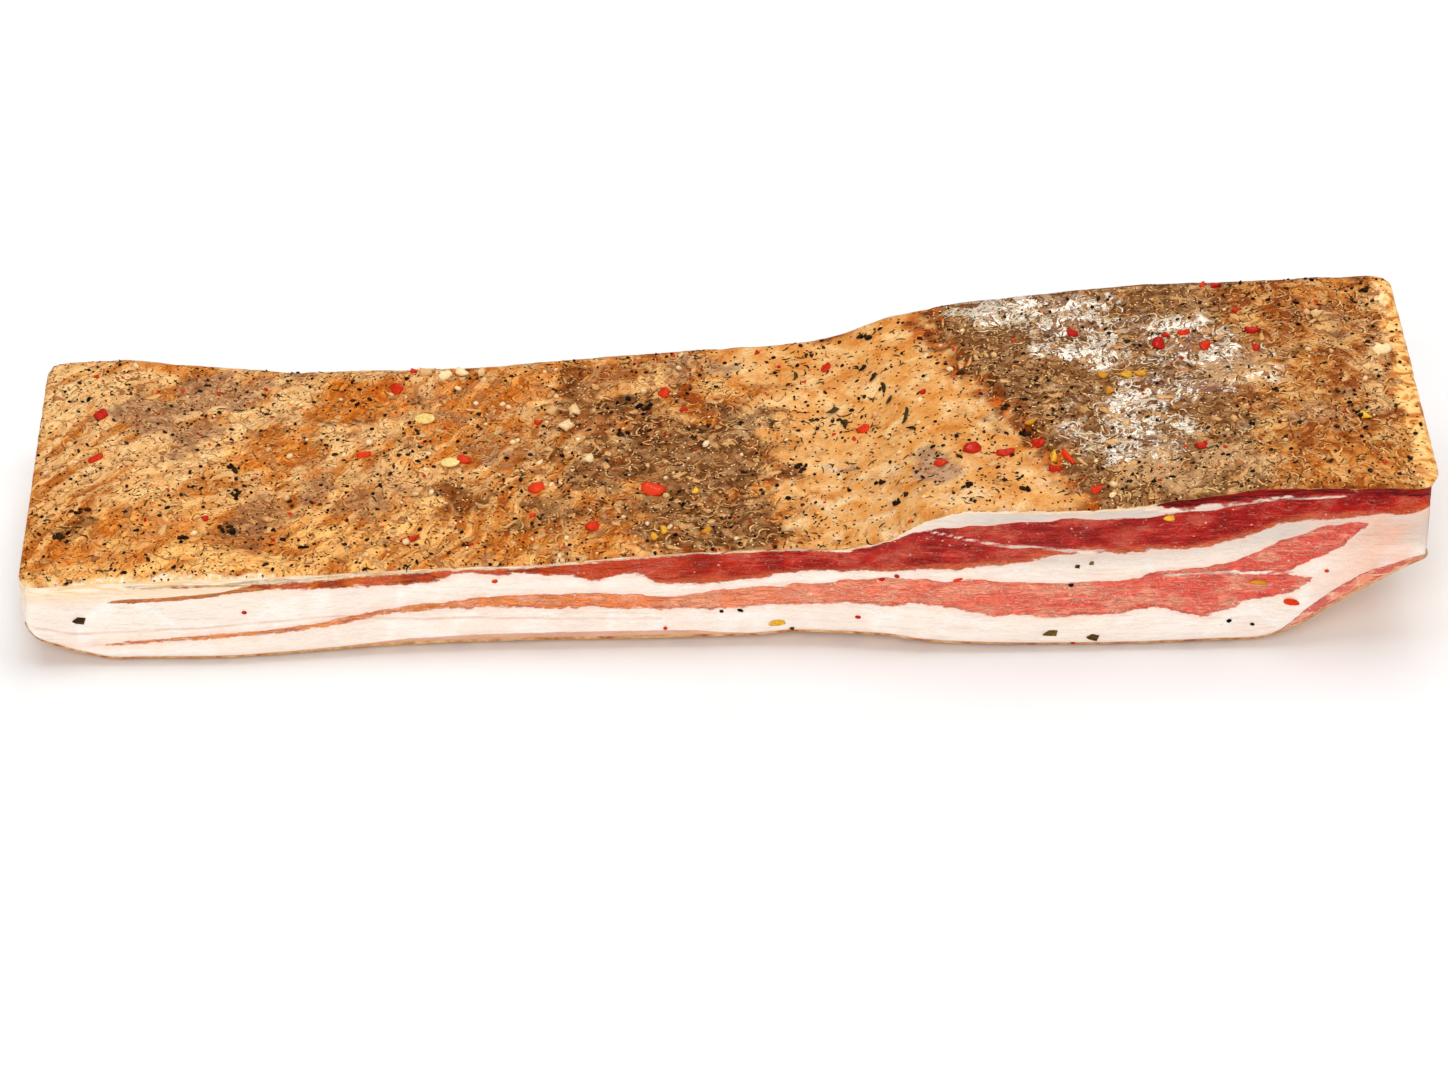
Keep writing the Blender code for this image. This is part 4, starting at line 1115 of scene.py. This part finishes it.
def add_seasoning(materials):
    """Every flake, seed, grain and herb, one piece for each kind."""
    draw = np.random.default_rng(SPREAD_SEED)

    def add_piece(name, template, places, sizes, kind, slot, **options):
        piece = scatter(name, template, *places, sizes, draw, **options)
        piece.data.materials.append(materials[kind])
        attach(piece, "root")
        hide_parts(NODE)

    def place_top(name, rows, template, kind, slot, thickness, **options):
        """Pieces in known places of the top."""
        x, y, length, width = columns(rows)
        add_piece(name, template, on_top(x, y), box_sizes(length, width, thickness), kind, slot, **options)

    def sprinkle(name, count, weight, template, sizes, kind, slot, **options):
        """Pieces in random places of the top."""
        places = on_top(*spread(count, draw, weight))
        add_piece(name, template, places, sizes(count), kind, slot, **options)

    def some(low, high, count):
        return draw.uniform(low, high, count)

    def pepper_sizes(count):
        size = 0.4 + 0.8 * some(0, 1, count) ** 2.5
        return box_sizes(size * some(0.9, 1.5, count), size * some(0.6, 1.0, count), size * 0.7)

    def dust_sizes(count):
        size = 0.6 + 0.9 * some(0, 1, count) ** 2
        return box_sizes(size, size * some(0.5, 0.9, count), 0.45)

    def crumb_sizes(count):
        size = 0.8 + 1.5 * some(0, 1, count) ** 2
        return box_sizes(size, size * some(0.6, 0.9, count), size * 0.6)

    def strip_sizes(lengths, widths, thickness):
        return lambda count: box_sizes(some(*lengths, count), some(*widths, count), thickness)

    for number in range(3):
        place_top(f"chilli_flakes_{number + 1}", CHILLI_FLAKES[number::3], flake_template(draw), "chilli",
                  "chilli", 0.7, lean=0.12, sink=0.2)
    place_top("chilli_seeds", CHILLI_SEEDS, disc_template(20, 12, 0.6, 0.4), "seed", "seed", 0.9,
              lean=0.06, sink=0.2)
    place_top("amber_chips", AMBER_CHIPS, flake_template(draw, 9), "amber", "seed", 0.8,
              jitter=0.05, sink=0.2)
    place_top("garlic_grains", GARLIC_GRAINS, flake_template(draw, 10), "garlic", "garlic", 1.1,
              jitter=0.05, sink=0.2)
    crowd = [(x + length * draw.normal(0, 0.3), y + width * draw.normal(0, 0.3), size,
              size * draw.uniform(0.6, 1.0))
             for x, y, length, width in PEPPER_GRAINS for size in some(0.8, 1.9, 5)]
    place_top("pepper_chunks", crowd, shard_template(), "pepper", "pepper", 0.9, jitter=0.2)
    twig_turns = np.radians(90 + draw.normal(0, 25, len(TWIGS)))
    place_top("twigs", TWIGS, sliver_template(0.25), "herb", "herb", 0.8, turn=twig_turns, jitter=0.08)

    sprinkle("ground_pepper", PEPPER_COUNT, pepper_weight, shard_template(), pepper_sizes, "pepper", "pepper",
             jitter=0.16)
    sprinkle("herb_slivers", HERB_COUNT, herb_weight, sliver_template(),
             strip_sizes((0.9, 2.6), (0.25, 0.5), 0.3), "herb", "herb", jitter=0.06)
    sprinkle("chilli_dust", CHIP_COUNT, pepper_weight, shard_template(), dust_sizes, "chilli", "chilli",
             jitter=0.12)
    curl, curl_sizes = sliver_template(1.5, 7), strip_sizes((1.4, 4.4), (0.35, 0.7), 0.4)
    flake, flake_sizes = flake_template(draw, 7), strip_sizes((1.4, 4.4), (0.9, 2.3), 0.3)
    for name, kind, count, weight, template, sizes in (
            ("skin_curls", "curl", CURL_COUNT, curl_weight, curl, curl_sizes),
            ("skin_flakes", "curl", FLAKE_COUNT, curl_weight, flake, flake_sizes),
            ("glossy_curls", "glossy", GLOSSY_CURL_COUNT, glossy_weight, curl, curl_sizes)):
        sprinkle(name, count, weight, template, sizes, kind, "meat", jitter=0.05, lean=0.1, sink=0.5)
    sprinkle("garlic_crumbs", GARLIC_COUNT, garlic_weight, shard_template(), crumb_sizes, "garlic", "garlic",
             jitter=0.12)

    for kind, template, look, slot in (
            ("pepper", shard_template(), "pepper", "pepper"),
            ("amber", flake_template(draw, 7), "amber", "seed"),
            ("herb", flake_template(draw, 5), "dried_herb", "herb"),
            ("chilli", disc_template(10, 8, 0.8), "chilli", "chilli")):
        x, z, length, height = columns([row[1:] for row in CUT_SIDE_GRAINS if row[0] == kind])
        turn = draw.normal(0, 0.2, len(x)) + math.pi / 2
        add_piece(f"cut_side_{kind}", template, on_front(x, z), box_sizes(length, height, 0.6), look, slot,
                  jitter=0.06, lean=0.05, sink=0.35, turn=turn)


# The camera: turned a little to the left, looking down, far off with a long lens
VIEW_TURN = math.radians(-1.5)
VIEW_RISE = math.radians(35.0)
VIEW_DISTANCE = 1100.0
VIEW_TARGET = (0.75, 0.4, 0.0)
SENSOR = 36.0
LENS = 124.15
CLIP_END = 20.0


def add_camera():
    data = bpy.data.cameras.new("camera")
    data.lens, data.sensor_width, data.clip_end = LENS, SENSOR, CLIP_END
    camera = bpy.data.objects.new("camera", data)
    bpy.context.scene.collection.objects.link(camera)
    back = Vector((math.sin(VIEW_TURN) * math.cos(VIEW_RISE), -math.cos(VIEW_TURN) * math.cos(VIEW_RISE),
                   math.sin(VIEW_RISE)))
    camera.location = (Vector(VIEW_TARGET) + back * VIEW_DISTANCE) * MM
    camera.rotation_euler = (-back).to_track_quat("-Z", "Y").to_euler()
    bpy.context.scene.camera = camera


# Soft rectangular lights in metres: place, where they point, size, power, colour
LIGHTS = {
    "overhead": ((0.0, 0.15, 1.3), (0, 0, 0.02), (1.5, 1.0), 9.2, (1.0, 1.0, 1.0)),
    "front": ((-0.3, -1.4, 1.0), (0, 0, 0.02), (1.4, 0.9), 17.2, (1.0, 1.0, 1.0)),
    "side": ((1.0, 0.1, 0.45), (0.14, 0, 0.02), (0.6, 0.6), 2.2, (1.0, 1.0, 1.0)),
    "behind": ((0.08, 1.15, 0.88), (0.06, 0, 0.03), (0.45, 0.35), 3.8, (1.0, 0.97, 0.93)),
}
SKY_STRENGTH = 0.3
TABLE_SIZE = 6.0
TABLE_DROP = 0.0002


def add_light(name, place, aim, size, power, color):
    data = bpy.data.lights.new(name, "AREA")
    data.shape = "RECTANGLE"
    data.size, data.size_y = size
    data.energy, data.color = power, color
    light = bpy.data.objects.new(name, data)
    bpy.context.scene.collection.objects.link(light)
    light.location = place
    light.rotation_euler = (Vector(aim) - Vector(place)).to_track_quat("-Z", "Y").to_euler()


def add_studio():
    """A plain pale table top and soft light from above, the front, the right side and behind."""
    bpy.ops.mesh.primitive_plane_add(size=TABLE_SIZE, location=(0, 0, -TABLE_DROP))
    floor = bpy.context.object
    floor.name = "table"
    s = Surface("table", 0.9)
    s.set("Base Color", s.mix(s.noise(60.0, 2.0), (246, 246, 246), (250, 250, 250)))
    floor.data.materials.append(s.material)
    world = bpy.data.worlds.new("studio")
    bpy.context.scene.world = world
    world.use_nodes = True
    background = world.node_tree.nodes["Background"]
    background.inputs["Color"].default_value = (1.0, 1.0, 1.0, 1.0)
    background.inputs["Strength"].default_value = SKY_STRENGTH
    for name, settings in LIGHTS.items():
        add_light(name, *settings)
    bpy.context.scene.view_settings.view_transform = "Standard"


# Looks of the scattered pieces: pale tone, dark tone, roughness, and for some a coat and inner glow
GRAIN_LOOKS = {
    "chilli": ((222, 56, 2), (176, 14, 1), 0.4, 0.12, 0.05),
    "seed": ((244, 216, 132), (206, 158, 70), 0.35, 0.3, 0.1),
    "amber": ((246, 186, 44), (204, 136, 14), 0.3, 0.3, 0.1),
    "garlic": ((250, 222, 172), (222, 172, 110), 0.45, 0.1, 0.1),
    "pepper": ((58, 34, 14), (12, 7, 3), 0.5),
    "curl": ((226, 172, 108), (164, 100, 48), 0.4, 0.15, 0.1),
    "glossy": ((254, 240, 216), (220, 184, 142), 0.25, 0.6, 0.1),
    "herb": ((84, 64, 26), (30, 20, 8), 0.5),
    "dried_herb": ((128, 96, 40), (54, 36, 12), 0.6),
}

add_camera()
slab = make_slab(cut_surface(), crust_surface())
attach(slab, "root")
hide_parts(NODE)
add_seasoning({name: grain_surface(name, *look) for name, look in GRAIN_LOOKS.items()})
add_studio()
